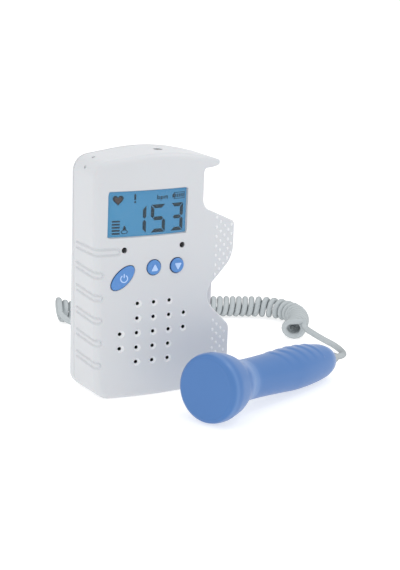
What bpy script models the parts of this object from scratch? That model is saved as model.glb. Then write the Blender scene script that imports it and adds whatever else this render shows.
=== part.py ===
# Fetal doppler: a standing unit with a screen, keys, a speaker and a probe cradle, and a hand
# probe on a curly cord. Metres, +Z up, the user faces the unit along +Y, origin under the base.
import math

import bpy
import bmesh
from mathutils import Matrix, Vector

mm = 0.001

# Shared fits
clearance = 0.3 * mm  # between pieces that touch
overrun = 3.0 * mm  # how far a cutter runs past what it cuts
finest = 0.002 * mm  # points closer than this are one point
chord_error = 0.07 * mm  # flats on arcs stay this close to the true curve

# Heights up the front, each measured from one below it
grille_z = 38.6 * mm
keys_rise = 37.8 * mm
keys_z = grille_z + keys_rise
lamps_rise = 11.3 * mm
window_rise = 18.5 * mm
window_height = 26.0 * mm
window_low_z = keys_z + window_rise
window_high_z = window_low_z + window_height
crown_height = 22.5 * mm
crest_z = window_high_z + crown_height  # the arch's corner before it is rounded

# Unit housing, seen from the front: x to the right, z up
wall = 2.2 * mm
front_y = -18.0 * mm  # the bowed face at its crown
seam_y = 13.0 * mm  # where the front cover ends
rear_y = 18.0 * mm  # the back at the top
rear_foot_y = 22.0 * mm  # the back at the foot, which the battery makes deeper
bow_radius = 175.6 * mm
bow_x = -8.0 * mm  # the face's crown, which the keys and the grille share
left_foot_x = -42.3 * mm
left_top_x = -45.7 * mm
left_top_z = crest_z - 6.4 * mm
crest_x = 3.0 * mm
crest_share = 0.578  # how much of the arch's shorter side its rounding takes
base_corner_radius = 9.0 * mm
top_corner_radius = 10.0 * mm
rim_radius = 3.8 * mm  # front edge of the housing
flange_rim_radius = 1.1 * mm  # front edge of the thin flange
hook_rim_radius = 0.7 * mm
rear_rim_radius = 4.5 * mm
slope_low_z = 8.0 * mm
slope_high_z = 80.0 * mm

# Hook, notch and flange that hold the probe on the right-hand side
hook_x = 42.2 * mm
hook_z = crest_z - 10.2 * mm
hook_tip_radius = 0.9 * mm
hook_bend_x = 30.0 * mm
hook_under_z = hook_z - 2.4 * mm
hook_bend_radius = 14.0 * mm
notch_x = 24.1 * mm
notch_corner_radius = 2.2 * mm
notch_height = 22.6 * mm
shoulder_z = hook_under_z - notch_height
shoulder_radius = 7.5 * mm
flange_x = 49.8 * mm
flange_top_z = shoulder_z - 11.4 * mm
flange_corner_radius = 3.2 * mm
flange_hip_z = 75.6 * mm
flange_hip_radius = 15.0 * mm
valley_x = 24.7 * mm
valley_z = 55.7 * mm
valley_radius = 9.6 * mm
foot_flange_x = 48.6 * mm
foot_flange_z = 34.0 * mm
foot_flange_radius = 5.5 * mm
flange_wall = 2.6 * mm
cradle_radius = 13.8 * mm
cradle_wall_x = 30.4 * mm  # the deepest place of the cradle's hollow
cradle_lip_x = 34.5 * mm  # where the hollow's rear lip ends

# Screen
window_left_x = -37.5 * mm
window_right_x = 12.0 * mm
window_corner_radius = 0.8 * mm
window_recess = 0.2 * mm  # how far the pane sits behind the face
window_wall = 1.0 * mm
window_ledge = 1.2 * mm  # what holds the pane from behind
screen_border = 0.6 * mm  # how far the glass behind the window reaches past it
screen_thickness = 2.8 * mm
backlight_thickness = 2.0 * mm
holder_wall = 1.6 * mm

# Keys
round_key_radius = 4.9 * mm
volume_up_place = (-9.1 * mm, keys_z)
volume_down_place = (6.3 * mm, keys_z - 0.2 * mm)
power_place = (-28.2 * mm, keys_z - 4.8 * mm)
power_length = 19.8 * mm
power_width = 10.3 * mm
power_turn = math.radians(41)
key_gap = 0.45 * mm
key_proud = 0.9 * mm
key_edge = 0.8 * mm
key_collar = 1.4 * mm  # how far the collar reaches past the hole
key_collar_thickness = 1.0 * mm
key_stem_radius = 1.6 * mm
key_travel = 0.8 * mm

# Lamps beside the keys
lamp_left_place = (-27.6 * mm, keys_z + lamps_rise - 0.2 * mm)
lamp_right_place = (9.6 * mm, keys_z + lamps_rise + 0.1 * mm)
lamp_radius = 1.4 * mm
lamp_depth = 5.0 * mm
lamp_recess = 0.6 * mm
lamp_collar = 0.4 * mm

# Speaker and its grille
grille_place = (bow_x, grille_z)
grille_pitch_x = 10.4 * mm
grille_pitch_z = 8.62 * mm
grille_hole_radius = 1.0 * mm
grille_steps = (
    (-2, (-1, 0)),
    (-1, (-2, -1, 0, 1, 2)),
    (0, (-2, -1, 0, 1, 2)),
    (1, (-2, -1, 0, 1, 2)),
    (2, (0, 1)),
)  # columns, each with its rows
countersink_radius = 2.2 * mm
countersink_depth = 0.45 * mm
speaker_radius = 14.5 * mm
speaker_rim = 1.5 * mm
speaker_rim_depth = 1.6 * mm
speaker_basket_depth = 3.4 * mm
speaker_throat_radius = 7.6 * mm
speaker_sheet = 0.8 * mm
speaker_seat_wall = 1.5 * mm
speaker_seat_depth = 3.0 * mm
speaker_front_y = -14.8 * mm
magnet_radius = 7.0 * mm
magnet_depth = 2.6 * mm
cone_sheet = 0.6 * mm

# Main board and what stands on it
board_left_x = -37.6 * mm
board_right_x = 19.6 * mm
board_low_z = 18.0 * mm
board_high_z = window_high_z + 4.5 * mm
board_corner_radius = 1.5 * mm
board_y = -6.0 * mm
board_thickness = 1.6 * mm
switch_side = 6.0 * mm
switch_body = 3.4 * mm
switch_plunger_radius = 1.5 * mm
switch_plunger = 0.9 * mm
chip_side = 9.0 * mm
chip_thickness = 1.2 * mm
controller_place = (-12.0 * mm, keys_z + 24.6 * mm)
amplifier_place = (-22.0 * mm, keys_z + 2.6 * mm)

# Headphone socket in the top
jack_x = -0.8 * mm
jack_y = -3.1 * mm
jack_hole_radius = 2.8 * mm
jack_neck_radius = 2.5 * mm
jack_bore_radius = 1.8 * mm
jack_recess = 1.4 * mm
jack_width = 8.0 * mm
jack_neck_height = 4.5 * mm
jack_bore_depth = 13.0 * mm

# Wrist strap holes in the top left corner
strap_hole_radius = 1.1 * mm
strap_holes = ((math.radians(104.5), 2.6 * mm), (math.radians(146.7), 1.1 * mm))

# Raised finger ribs on the left side, each drawn by one looped groove
rib_low_z = 20.8 * mm
rib_pitch = 13.2 * mm
rib_count = 5
rib_width = 3.1 * mm
rib_front_x = -39.6 * mm
rib_rear_y = 5.0 * mm
rib_rise = 2.5 * mm  # how much higher a rib's rear end is
rib_fade = 4.0 * mm
long_rib_width = 3.4 * mm
long_rib_z = 86.7 * mm
long_rib_front_x = -30.2 * mm
long_rib_rear_y = 9.0 * mm
groove_radius = 0.5 * mm

# Battery, its tray and its door
battery_size = (26.5 * mm, 17.5 * mm, 48.5 * mm)
battery_x = -8.0 * mm
battery_low_z = 12.6 * mm
battery_edge = 1.6 * mm
terminal_radius = 2.8 * mm
terminal_height = 1.8 * mm
terminal_spacing = 12.7 * mm
snap_thickness = 3.2 * mm
snap_width = 12.0 * mm
tray_wall = 1.5 * mm
tray_room = 5.0 * mm  # above the battery, for its snap
tray_ledge = 1.0 * mm  # what the door rests on
door_thickness = 2.0 * mm
door_tab_width = 5.0 * mm
door_tab_reach = 1.6 * mm
door_tab_thickness = 1.3 * mm
door_tab_height = 3.0 * mm
door_tab_x = 8.0 * mm  # each side of the door's middle

# Case screws
screw_places = (
    (-36.0 * mm, 12.0 * mm),
    (24.0 * mm, 24.0 * mm),
    (-37.4 * mm, crest_z - 13.8 * mm),
    (17.4 * mm, crest_z - 13.8 * mm),
)
post_radius = 3.2 * mm
screw_shank_radius = 1.25 * mm
screw_head_radius = 2.5 * mm
screw_head_height = 1.8 * mm
screw_length = 9.0 * mm
screw_drive = 1.1 * mm

# Cord
cord_radius = 1.95 * mm
coil_radius = 5.2 * mm  # from the coil's axis to the middle of the cord
coil_gap = 0.62 * mm  # between turns, kept where the coil bends
coil_points_per_turn = 8
gland_x = 16.0 * mm
gland_z = 13.0 * mm
gland_root_radius = 4.2 * mm
gland_tip_radius = 3.2 * mm
gland_length = 15.0 * mm
gland_collar = 1.2 * mm
gland_collar_thickness = 1.4 * mm
gland_rib = 0.55 * mm
gland_rib_count = 3
cord_bore = 0.3 * mm  # room round the cord in what it leaves
cord_seat = 4.0 * mm  # how far the cord runs inside what it leaves
coil_start_radius = 6.6 * mm  # the first turn is larger than the rest
coil_end_width = 6.2 * mm  # half of the last turn's width, to the middle of the cord
coil_open_turns = 2  # over which the ends grow
coil_start_turn = math.radians(135)
coil_end_turn = math.radians(92)
coil_lead_in = 3.9 * mm  # straight cord at each end of the coil
cord_spacing = 7.0 * mm
# Middle of the coil on the floor, from its left end to its open end
coil_route = (
    (9.6 * mm, 143.0 * mm),
    (48.0 * mm, 133.6 * mm),
    (84.0 * mm, 124.4 * mm),
    (113.5 * mm, 115.4 * mm),
    (131.5 * mm, 108.0 * mm),
    (145.0 * mm, 101.2 * mm),
    (153.2 * mm, 91.6 * mm),
    (155.4 * mm, 79.6 * mm),
    (151.6 * mm, 67.5 * mm),
    (143.0 * mm, 55.6 * mm),
    (133.2 * mm, 46.0 * mm),
)
# Free cord between the unit and the coil, and between the coil and the probe
lead_route = (
    (17.0 * mm, 52.0 * mm, 10.0 * mm),
    (19.5 * mm, 61.0 * mm, 5.8 * mm),
    (23.5 * mm, 73.0 * mm, 2.6 * mm),
    (29.0 * mm, 88.0 * mm, 2.0 * mm),
    (32.4 * mm, 104.0 * mm, 2.0 * mm),
    (31.6 * mm, 115.0 * mm, 2.2 * mm),
    (28.2 * mm, 121.2 * mm, 2.4 * mm),
    (22.2 * mm, 125.0 * mm, 2.7 * mm),
    (15.5 * mm, 126.4 * mm, 3.1 * mm),
    (10.2 * mm, 128.2 * mm, 4.6 * mm),
)
tail_route = (
    (137.2 * mm, 38.4 * mm, 9.8 * mm),
    (137.0 * mm, 30.0 * mm, 8.6 * mm),
    (136.6 * mm, 18.0 * mm, 7.8 * mm),
    (137.0 * mm, 6.0 * mm, 7.0 * mm),
    (134.4 * mm, -5.6 * mm, 7.0 * mm),
    (129.4 * mm, -15.6 * mm, 7.9 * mm),
)

# Probe, turned about its own axis from the face to the tail
probe_length = 126.0 * mm
probe_head_radius = 19.86 * mm
# Along the probe from its face, and out from its axis, as shares of its length and head radius
probe_profile_shares = (
    (0.0, 0.86),
    (0.012, 0.955),
    (0.028, 0.99),
    (0.045, 1.0),
    (0.072, 0.993),
    (0.125, 0.92),
    (0.150, 0.87),
    (0.175, 0.80),
    (0.200, 0.73),
    (0.225, 0.673),
    (0.250, 0.632),
    (0.275, 0.608),
    (0.300, 0.599),
    (0.400, 0.603),
    (0.550, 0.632),
    (0.650, 0.656),
    (0.740, 0.643),
    (0.820, 0.606),
    (0.900, 0.545),
    (0.935, 0.495),
    (0.965, 0.425),
    (0.985, 0.350),
    (1.0, 0.26),
)
probe_split_share = 0.25  # where the head is joined to the handle
probe_wall = 2.2 * mm
probe_heading = math.radians(22.5)
probe_face_place = (-6.1 * mm, -74.8 * mm)
probe_spigot_length = 6.0 * mm
probe_spigot_wall = 1.6 * mm
probe_boot_length = 8.0 * mm
probe_boot_root_radius = 4.0 * mm
probe_boot_tip_radius = 3.0 * mm
crystal_radius = 9.0 * mm
crystal_thickness = 1.2 * mm
backing_thickness = 8.0 * mm
backing_wall = 1.6 * mm
probe_board_length = 44.0 * mm
probe_board_thickness = 1.2 * mm
grip_ridge_count = 5
grip_ridge_first = 60.0 * mm
grip_ridge_pitch = 9.0 * mm
grip_ridge_height = 0.6 * mm
grip_ridge_lean = 7.0 * mm  # how far a ridge's ends lean towards the tail
grip_ridge_turn = math.radians(62)  # half of the turn that a ridge takes round the handle
grip_ridge_rings = 3  # rings of points along each ridge

# Start from an empty scene
for leftover in list(bpy.data.objects):
    bpy.data.objects.remove(leftover, do_unlink=True)


def make_material(name, colour, roughness, metallic=0.0):
    material = bpy.data.materials.new(name)
    material.use_nodes = True
    shader = material.node_tree.nodes["Principled BSDF"]
    shader.inputs["Base Color"].default_value = (*colour, 1.0)
    shader.inputs["Roughness"].default_value = roughness
    shader.inputs["Metallic"].default_value = metallic
    material.diffuse_color = (*colour, 1.0)
    return material


finishes = {
    "white_case": make_material("white_case", (0.80, 0.81, 0.83), 0.42),
    "blue_key": make_material("blue_key", (0.23, 0.47, 0.78), 0.40),
    "blue_probe": make_material("blue_probe", (0.20, 0.33, 0.62), 0.45),
    "grey_cord": make_material("grey_cord", (0.56, 0.59, 0.60), 0.50),
    "clear_window": make_material("clear_window", (0.75, 0.85, 0.92), 0.10),
    "screen_glass": make_material("screen_glass", (0.16, 0.40, 0.62), 0.20),
    "white_diffuser": make_material("white_diffuser", (0.85, 0.88, 0.90), 0.60),
    "black_plastic": make_material("black_plastic", (0.03, 0.03, 0.035), 0.50),
    "green_board": make_material("green_board", (0.05, 0.25, 0.12), 0.50),
    "steel": make_material("steel", (0.60, 0.60, 0.62), 0.35, 1.0),
    "lamp_lens": make_material("lamp_lens", (0.10, 0.12, 0.14), 0.20),
    "speaker_paper": make_material("speaker_paper", (0.08, 0.08, 0.08), 0.80),
    "ceramic": make_material("ceramic", (0.75, 0.72, 0.62), 0.50),
    "resin": make_material("resin", (0.12, 0.11, 0.10), 0.60),
    "battery_jacket": make_material("battery_jacket", (0.20, 0.21, 0.23), 0.40),
}


# Mesh helpers
def place_mesh(name, bm, finish, smooth_turn=math.radians(32), parent=None):
    bmesh.ops.recalc_face_normals(bm, faces=bm.faces)
    mesh = bpy.data.meshes.new(name)
    bm.to_mesh(mesh)
    bm.free()
    made = bpy.data.objects.new(name, mesh)
    bpy.context.scene.collection.objects.link(made)
    if finish:
        mesh.materials.append(finishes[finish])
    if smooth_turn:
        mesh.shade_smooth()
        mesh.set_sharp_from_angle(angle=smooth_turn)
    made.parent = parent
    return made


def combine(body, other, operation):
    """Cut, join or intersect body with other, then remove other."""
    step = body.modifiers.new(operation.lower(), "BOOLEAN")
    step.operation = operation
    step.solver = "EXACT"
    step.object = other
    graph = bpy.context.evaluated_depsgraph_get()
    old = body.data
    result = bpy.data.meshes.new_from_object(body.evaluated_get(graph))
    body.modifiers.remove(step)
    bm = bmesh.new()
    bm.from_mesh(result)
    bmesh.ops.remove_doubles(bm, verts=bm.verts, dist=finest)
    bmesh.ops.dissolve_degenerate(bm, edges=bm.edges, dist=finest)
    bmesh.ops.triangulate(bm, faces=bm.faces[:])
    bm.to_mesh(result)
    bm.free()
    body.data = result
    result.name = body.name
    bpy.data.meshes.remove(old)
    other_mesh = other.data
    bpy.data.objects.remove(other, do_unlink=True)
    if other_mesh.users == 0:
        bpy.data.meshes.remove(other_mesh)
    return body


def cut(body, other):
    return combine(body, other, "DIFFERENCE")


def join(body, other):
    return combine(body, other, "UNION")


def arc_steps(radius, turn):
    flat = 2 * math.acos(max(0.0, 1 - chord_error / max(radius, chord_error)))
    return max(2, math.ceil(abs(turn) / flat))


def rounded_outline(corners):
    """Points (place, outward normal, rim) of a closed outline with its corners rounded.

    corners run anticlockwise as (x, z, corner radius, rim radius).
    """
    points = []
    count = len(corners)
    for i, (x, z, radius, rim) in enumerate(corners):
        here = Vector((x, z))
        back = (Vector(corners[i - 1][:2]) - here).normalized()
        ahead = (Vector(corners[(i + 1) % count][:2]) - here).normalized()
        half = back.angle(ahead) / 2
        middle = (back + ahead).normalized()
        centre = here + middle * (radius / math.sin(half))
        turn_left = (-back).x * ahead.y - (-back).y * ahead.x > 0
        start = here + back * (radius / math.tan(half)) - centre
        turn = math.pi - 2 * half
        steps = arc_steps(radius, turn)
        side = 1 if turn_left else -1
        for k in range(steps + 1):
            turned = start.copy()
            turned.rotate(Matrix.Rotation(side * turn * k / steps, 2))
            points.append((centre + turned, turned.normalized() * side, rim))
    return points


def slab(name, rings, finish=None, front_strips=None):
    """A closed body through rings of (x, y, z) points with one cap at each end."""
    bm = bmesh.new()
    made = [[bm.verts.new(point) for point in ring] for ring in rings]
    count = len(rings[0])
    for low, high in zip(made, made[1:]):
        for i in range(count):
            j = (i + 1) % count
            bm.faces.new((low[i], low[j], high[j], high[i]))
    bm.faces.new(list(reversed(made[0])))
    bm.faces.new(made[-1])
    if front_strips:
        xs = [v.co.x for v in bm.verts]
        low_x, high_x = min(xs), max(xs)
        for k in range(1, front_strips):
            bmesh.ops.bisect_plane(
                bm,
                geom=bm.verts[:] + bm.edges[:] + bm.faces[:],
                plane_co=(low_x + (high_x - low_x) * k / front_strips, 0, 0),
                plane_no=(1, 0, 0),
            )
    return bm if name is None else place_mesh(name, bm, finish)


def extruded(name, outline, low_y, high_y, finish=None):
    rings = [[(p.x, y, p.y) for p in outline] for y in (low_y, high_y)]
    return slab(name, rings, finish)


def box_corners(low_x, high_x, low_z, high_z, radius, rim=0.0):
    return (
        (low_x, low_z, radius, rim),
        (high_x, low_z, radius, rim),
        (high_x, high_z, radius, rim),
        (low_x, high_z, radius, rim),
    )


def plain_box(name, low, high, finish=None, edge=0.0, parent=None):
    bm = bmesh.new()
    bmesh.ops.create_cube(bm, size=1)
    for v in bm.verts:
        v.co = Vector([low[k] if v.co[k] < 0 else high[k] for k in range(3)])
    if edge:
        bmesh.ops.bevel(bm, geom=bm.edges[:], offset=edge, segments=2, profile=0.5, affect="EDGES")
    return place_mesh(name, bm, finish, parent=parent)


def turned(name, profile, finish=None, steps=24, place=None, parent=None):
    """Revolve (radius, height) points about Z. The profile starts and ends on the axis,
    or closes on itself for a ring."""
    bm = bmesh.new()
    on_axis = profile[0][0] == 0 and profile[-1][0] == 0
    rings = []
    for radius, height in profile:
        if radius == 0:
            rings.append([bm.verts.new((0, 0, height))])
            continue
        turns = [2 * math.pi * k / steps for k in range(steps)]
        rings.append([bm.verts.new((radius * math.cos(t), radius * math.sin(t), height)) for t in turns])
    pairs = list(zip(rings, rings[1:]))
    if not on_axis:
        pairs.append((rings[-1], rings[0]))
    for low, high in pairs:
        for k in range(steps):
            j = (k + 1) % steps
            if len(low) == 1:
                bm.faces.new((low[0], high[j], high[k]))
            elif len(high) == 1:
                bm.faces.new((low[k], low[j], high[0]))
            else:
                bm.faces.new((low[k], low[j], high[j], high[k]))
    if place:
        bm.transform(place)
    return place_mesh(name, bm, finish, parent=parent)


def along_y(x, y, z):
    """Puts a turned shape's axis along +Y, starting at the point."""
    return Matrix.Translation((x, y, z)) @ Matrix.Rotation(-math.pi / 2, 4, "X")


def rod(name, radius, low, high, place, finish=None, steps=24, parent=None):
    profile = [(0, low), (radius, low), (radius, high), (0, high)]
    return turned(name, profile, finish, steps, place, parent)


def tube(name, points, radius, finish=None, resolution=2, parent=None):
    curve = bpy.data.curves.new(name, "CURVE")
    curve.dimensions = "3D"
    curve.bevel_depth = radius
    curve.bevel_resolution = resolution
    curve.use_fill_caps = True
    spline = curve.splines.new("POLY")
    spline.points.add(len(points) - 1)
    for point, place in zip(spline.points, points):
        point.co = (*place, point.co[3])
    made = bpy.data.objects.new(name, curve)
    bpy.context.scene.collection.objects.link(made)
    if finish:
        curve.materials.append(finishes[finish])
    made.parent = parent
    return made


def tube_mesh(name, points, radius, resolution=1):
    """A tube as a mesh, for cutting with."""
    guide = tube(name, points, radius, resolution=resolution)
    graph = bpy.context.evaluated_depsgraph_get()
    mesh = bpy.data.meshes.new_from_object(guide.evaluated_get(graph))
    bpy.data.objects.remove(guide, do_unlink=True)
    bm = bmesh.new()
    bm.from_mesh(mesh)
    bmesh.ops.remove_doubles(bm, verts=bm.verts, dist=finest)
    bpy.data.meshes.remove(mesh)
    return place_mesh(name, bm, None)


def fine_route(points):
    knots = [Vector(p) for p in points]
    ends = [2 * knots[0] - knots[1], *knots, 2 * knots[-1] - knots[-2]]
    fine = []
    steps = 24
    for a, b, c, d in zip(ends, ends[1:], ends[2:], ends[3:]):
        for k in range(steps):
            t = k / steps
            fine.append(
                0.5 * (2 * b + (c - a) * t + (2 * a - 5 * b + 4 * c - d) * t**2
                       + (3 * b - a - 3 * c + d) * t**3)
            )
    fine.append(knots[-1])
    return fine


def route_length(points):
    fine = fine_route(points)
    return sum((q - p).length for p, q in zip(fine, fine[1:]))


def smooth_route(points, spacing):
    """Evenly spaced points on a smooth curve through the given ones."""
    fine = fine_route(points)
    run = [0.0]
    for p, q in zip(fine, fine[1:]):
        run.append(run[-1] + (q - p).length)
    count = max(2, round(run[-1] / spacing))
    even = []
    at = 0
    for k in range(count + 1):
        goal = run[-1] * k / count
        while at < len(run) - 2 and run[at + 1] < goal:
            at += 1
        share = (goal - run[at]) / max(run[at + 1] - run[at], cord_radius / 1000)
        even.append(fine[at].lerp(fine[at + 1], min(share, 1.0)))
    return even


# Shape rules that several pieces follow
def bow(x):
    """How far the face falls back at x."""
    return (x - bow_x) ** 2 / (2 * bow_radius)


def face_y(x):
    return front_y + bow(x)


def back_y(z):
    """The back's place at a height: deeper at the foot."""
    share = (z - slope_low_z) / (slope_high_z - slope_low_z)
    return rear_foot_y + (rear_y - rear_foot_y) * min(max(share, 0.0), 1.0)


def left_x(z):
    return left_foot_x + (left_top_x - left_foot_x) * z / left_top_z


def rounding(corner, before, after, share):
    """The radius that rounds a corner over a share of its shorter side."""
    here = Vector(corner)
    back, ahead = Vector(before) - here, Vector(after) - here
    return share * min(back.length, ahead.length) * math.tan(back.angle(ahead) / 2)


crest_radius = rounding((crest_x, crest_z), (hook_x, hook_z), (left_top_x, left_top_z), crest_share)
case_corners = (
    (left_foot_x, 0.0, base_corner_radius, rim_radius),
    (foot_flange_x, 0.0, base_corner_radius, flange_rim_radius),
    (foot_flange_x, foot_flange_z, foot_flange_radius, flange_rim_radius),
    (valley_x, valley_z, valley_radius, flange_rim_radius),
    (flange_x, flange_hip_z, flange_hip_radius, flange_rim_radius),
    (flange_x, flange_top_z, flange_corner_radius, flange_rim_radius),
    (notch_x, shoulder_z, shoulder_radius, flange_rim_radius),
    (notch_x, hook_under_z, notch_corner_radius, flange_rim_radius),
    (hook_bend_x, hook_under_z, hook_bend_radius, flange_rim_radius),
    (hook_x, hook_z, hook_tip_radius, hook_rim_radius),
    (crest_x, crest_z, crest_radius, rim_radius),
    (left_top_x, left_top_z, top_corner_radius, rim_radius),
)
cradle_x = cradle_wall_x + cradle_radius
cradle_y = face_y(cradle_x) + flange_wall + cradle_radius
inner_right_x = cradle_wall_x - wall
inner_notch_x = notch_x - wall
inner_rim_radius = rim_radius - wall
shoulder_slope = (shoulder_z - flange_top_z) / (flange_x - notch_x)
lip_top_z = shoulder_z - (cradle_lip_x - notch_x) * shoulder_slope
inner_shoulder_z = shoulder_z - (inner_right_x - notch_x) * shoulder_slope - wall

cavity_corners = (
    (left_foot_x + wall, wall, base_corner_radius - wall, inner_rim_radius),
    (inner_right_x, wall, wall, inner_rim_radius),
    (inner_right_x, inner_shoulder_z, wall / 2, inner_rim_radius),
    (inner_notch_x, inner_shoulder_z + (inner_right_x - inner_notch_x) * shoulder_slope, wall / 2,
     inner_rim_radius),
    (inner_notch_x, hook_under_z + wall, wall, inner_rim_radius),
    (crest_x, crest_z - 2 * wall, crest_radius / 2, inner_rim_radius),
    (left_top_x + wall, left_top_z - wall, top_corner_radius - wall, inner_rim_radius),
)
back_corners = (
    (left_foot_x, 0.0, base_corner_radius, rear_rim_radius),
    (cradle_lip_x, 0.0, wall, wall),
    (cradle_lip_x, lip_top_z, wall, wall),
    (notch_x, shoulder_z, shoulder_radius / 2, wall),
    (notch_x, hook_under_z, notch_corner_radius, wall),
    (hook_bend_x, hook_under_z, hook_bend_radius, wall),
    (hook_x, hook_z, hook_tip_radius, hook_rim_radius),
    (crest_x, crest_z, crest_radius, rear_rim_radius),
    (left_top_x, left_top_z, top_corner_radius, rear_rim_radius),
)


def fitted_rims(points, share=0.62):
    """Each point's rim radius, made smaller where the outline is too narrow for it."""
    dense = []
    for (here, _, _), (there, _, _) in zip(points, points[1:] + points[:1]):
        steps = max(1, math.ceil((there - here).length / (2 * rim_radius)))
        dense += [here.lerp(there, k / steps) for k in range(steps)]
    fitted = []
    for here, normal, rim in points:
        room = rim / share
        for other in dense:
            reach = (here - other).dot(normal)
            if reach > rim / 50:
                room = min(room, (here - other).length_squared / (2 * reach))
        fitted.append(min(rim, share * room))
    return fitted


def bowed_case(name, corners, front, back, strips, rim_steps, finish=None):
    """A body with a bowed, rounded front at depth `front` and a flat end at `back`."""
    points = rounded_outline(corners)
    rims = fitted_rims(points)
    rings = []
    for k in range(rim_steps + 1):
        turn = math.pi / 2 * k / rim_steps
        ring = []
        for (place, normal, _), rim in zip(points, rims):
            inner = place - normal * rim * (1 - math.sin(turn))
            ring.append((inner.x, front + rim * (1 - math.cos(turn)), inner.y))
        rings.append(ring)
    rings.append([(place.x, back, place.y) for place, _, _ in points])
    bm = slab(None, rings, front_strips=strips)
    halfway = (max(v.co.y for v in bm.verts if v.co.y < back - wall / 2) + back) / 2
    for v in bm.verts:
        if v.co.y < halfway:
            v.co.y += bow(v.co.x)
    bmesh.ops.triangulate(bm, faces=bm.faces[:])
    return place_mesh(name, bm, finish)


def bowed_block(name, low_x, high_x, low_z, high_z, radius, front, back, strips=6, finish=None):
    """A rounded rectangle whose front and back both follow the face's bow."""
    outline = [p for p, _, _ in rounded_outline(box_corners(low_x, high_x, low_z, high_z, radius))]
    rings = [[(p.x, y, p.y) for p in outline] for y in (front, back)]
    bm = slab(None, rings, front_strips=strips)
    for v in bm.verts:
        v.co.y += bow(v.co.x)
    bmesh.ops.triangulate(bm, faces=bm.faces[:])
    return place_mesh(name, bm, finish)


def gather(pieces):
    """Puts separate pieces that don't touch into one cutter."""
    bm = bmesh.new()
    for piece in pieces:
        bm.from_mesh(piece.data)
        old = piece.data
        bpy.data.objects.remove(piece, do_unlink=True)
        bpy.data.meshes.remove(old)
    return place_mesh("gathered", bm, None, smooth_turn=0)


def channel_cutter(low_y):
    """The cradle's hollow and all that is right of its rear lip."""
    low = -overrun
    high = (shoulder_z + hook_under_z) / 2
    hollow = rod("hollow", cradle_radius, low, high, Matrix.Translation((cradle_x, cradle_y, 0)), steps=40)
    side = plain_box(
        "side",
        (cradle_lip_x, max(low_y, cradle_y), low - overrun),
        (cradle_x + 2 * cradle_radius, rear_foot_y + overrun, high - overrun),
    )
    return join(hollow, side)


def surface_point(z, arc):
    """A point of the case's skin at height z. arc runs along the side towards the front, is 0
    where the side meets the front rim, and runs on over the rim along the face."""
    x = left_x(z)
    rim_arc = rim_radius * math.pi / 2
    if arc <= 0:
        return Vector((x, front_y + bow(x) + rim_radius - arc, z))
    if arc < rim_arc:
        turn = arc / rim_radius
        px = x + rim_radius * (1 - math.cos(turn))
        return Vector((px, face_y(px) + rim_radius * (1 - math.sin(turn)), z))
    px = x + rim_radius + (arc - rim_arc)
    return Vector((px, face_y(px), z))


def rib_groove(z, width, front_x, rear_y, rise):
    """A groove that runs round one finger rib: along the side, over the rim and back."""
    half = width / 2
    rim_arc = rim_radius * math.pi / 2
    rear = -(rear_y - front_y - bow(left_x(z)) - rim_radius)
    inward = front_x - left_x(z)
    front = rim_arc + inward - rim_radius - half
    if inward < rim_radius:
        front = rim_radius * math.acos(1 - inward / rim_radius) - half
    on_rim = min(front, rim_arc)
    side_steps = 4
    rim_steps = 3
    arcs = [rear - rear * k / side_steps for k in range(side_steps)]
    arcs += [on_rim * k / rim_steps for k in range(rim_steps + 1)]
    if front > rim_arc:
        arcs.append(front)

    def leg(side):
        made = []
        for arc in arcs:
            lift = z + side * half + rise * min(max(-arc, 0.0), -rear) / -rear
            point = surface_point(lift, arc)
            if arc < rear + rib_fade:
                point.x -= groove_radius * (1 - (arc - rear) / rib_fade)
            made.append(point)
        return made

    turn_steps = 4
    end = []
    for k in range(1, turn_steps):
        turn = -math.pi / 2 + math.pi * k / turn_steps
        end.append(surface_point(z + half * math.sin(turn), front + half * math.cos(turn)))
    lower, upper = (leg(side) for side in (-1, 1))
    return lower + end + list(reversed(upper))


def at_face(place, depth=0.0):
    x, z = place
    return along_y(x, face_y(x) + depth, z)


def power_outline(grow=0.0):
    """The power key's oval."""
    long, short = power_length / 2 + grow, power_width / 2 + grow
    steps = 4 * arc_steps(power_length / 2, math.pi / 2)
    points = []
    for k in range(steps):
        turn = 2 * math.pi * k / steps
        point = Vector((long * math.cos(turn), short * math.sin(turn)))
        points.append(Matrix.Rotation(power_turn, 2) @ point + Vector(power_place))
    return points


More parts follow.
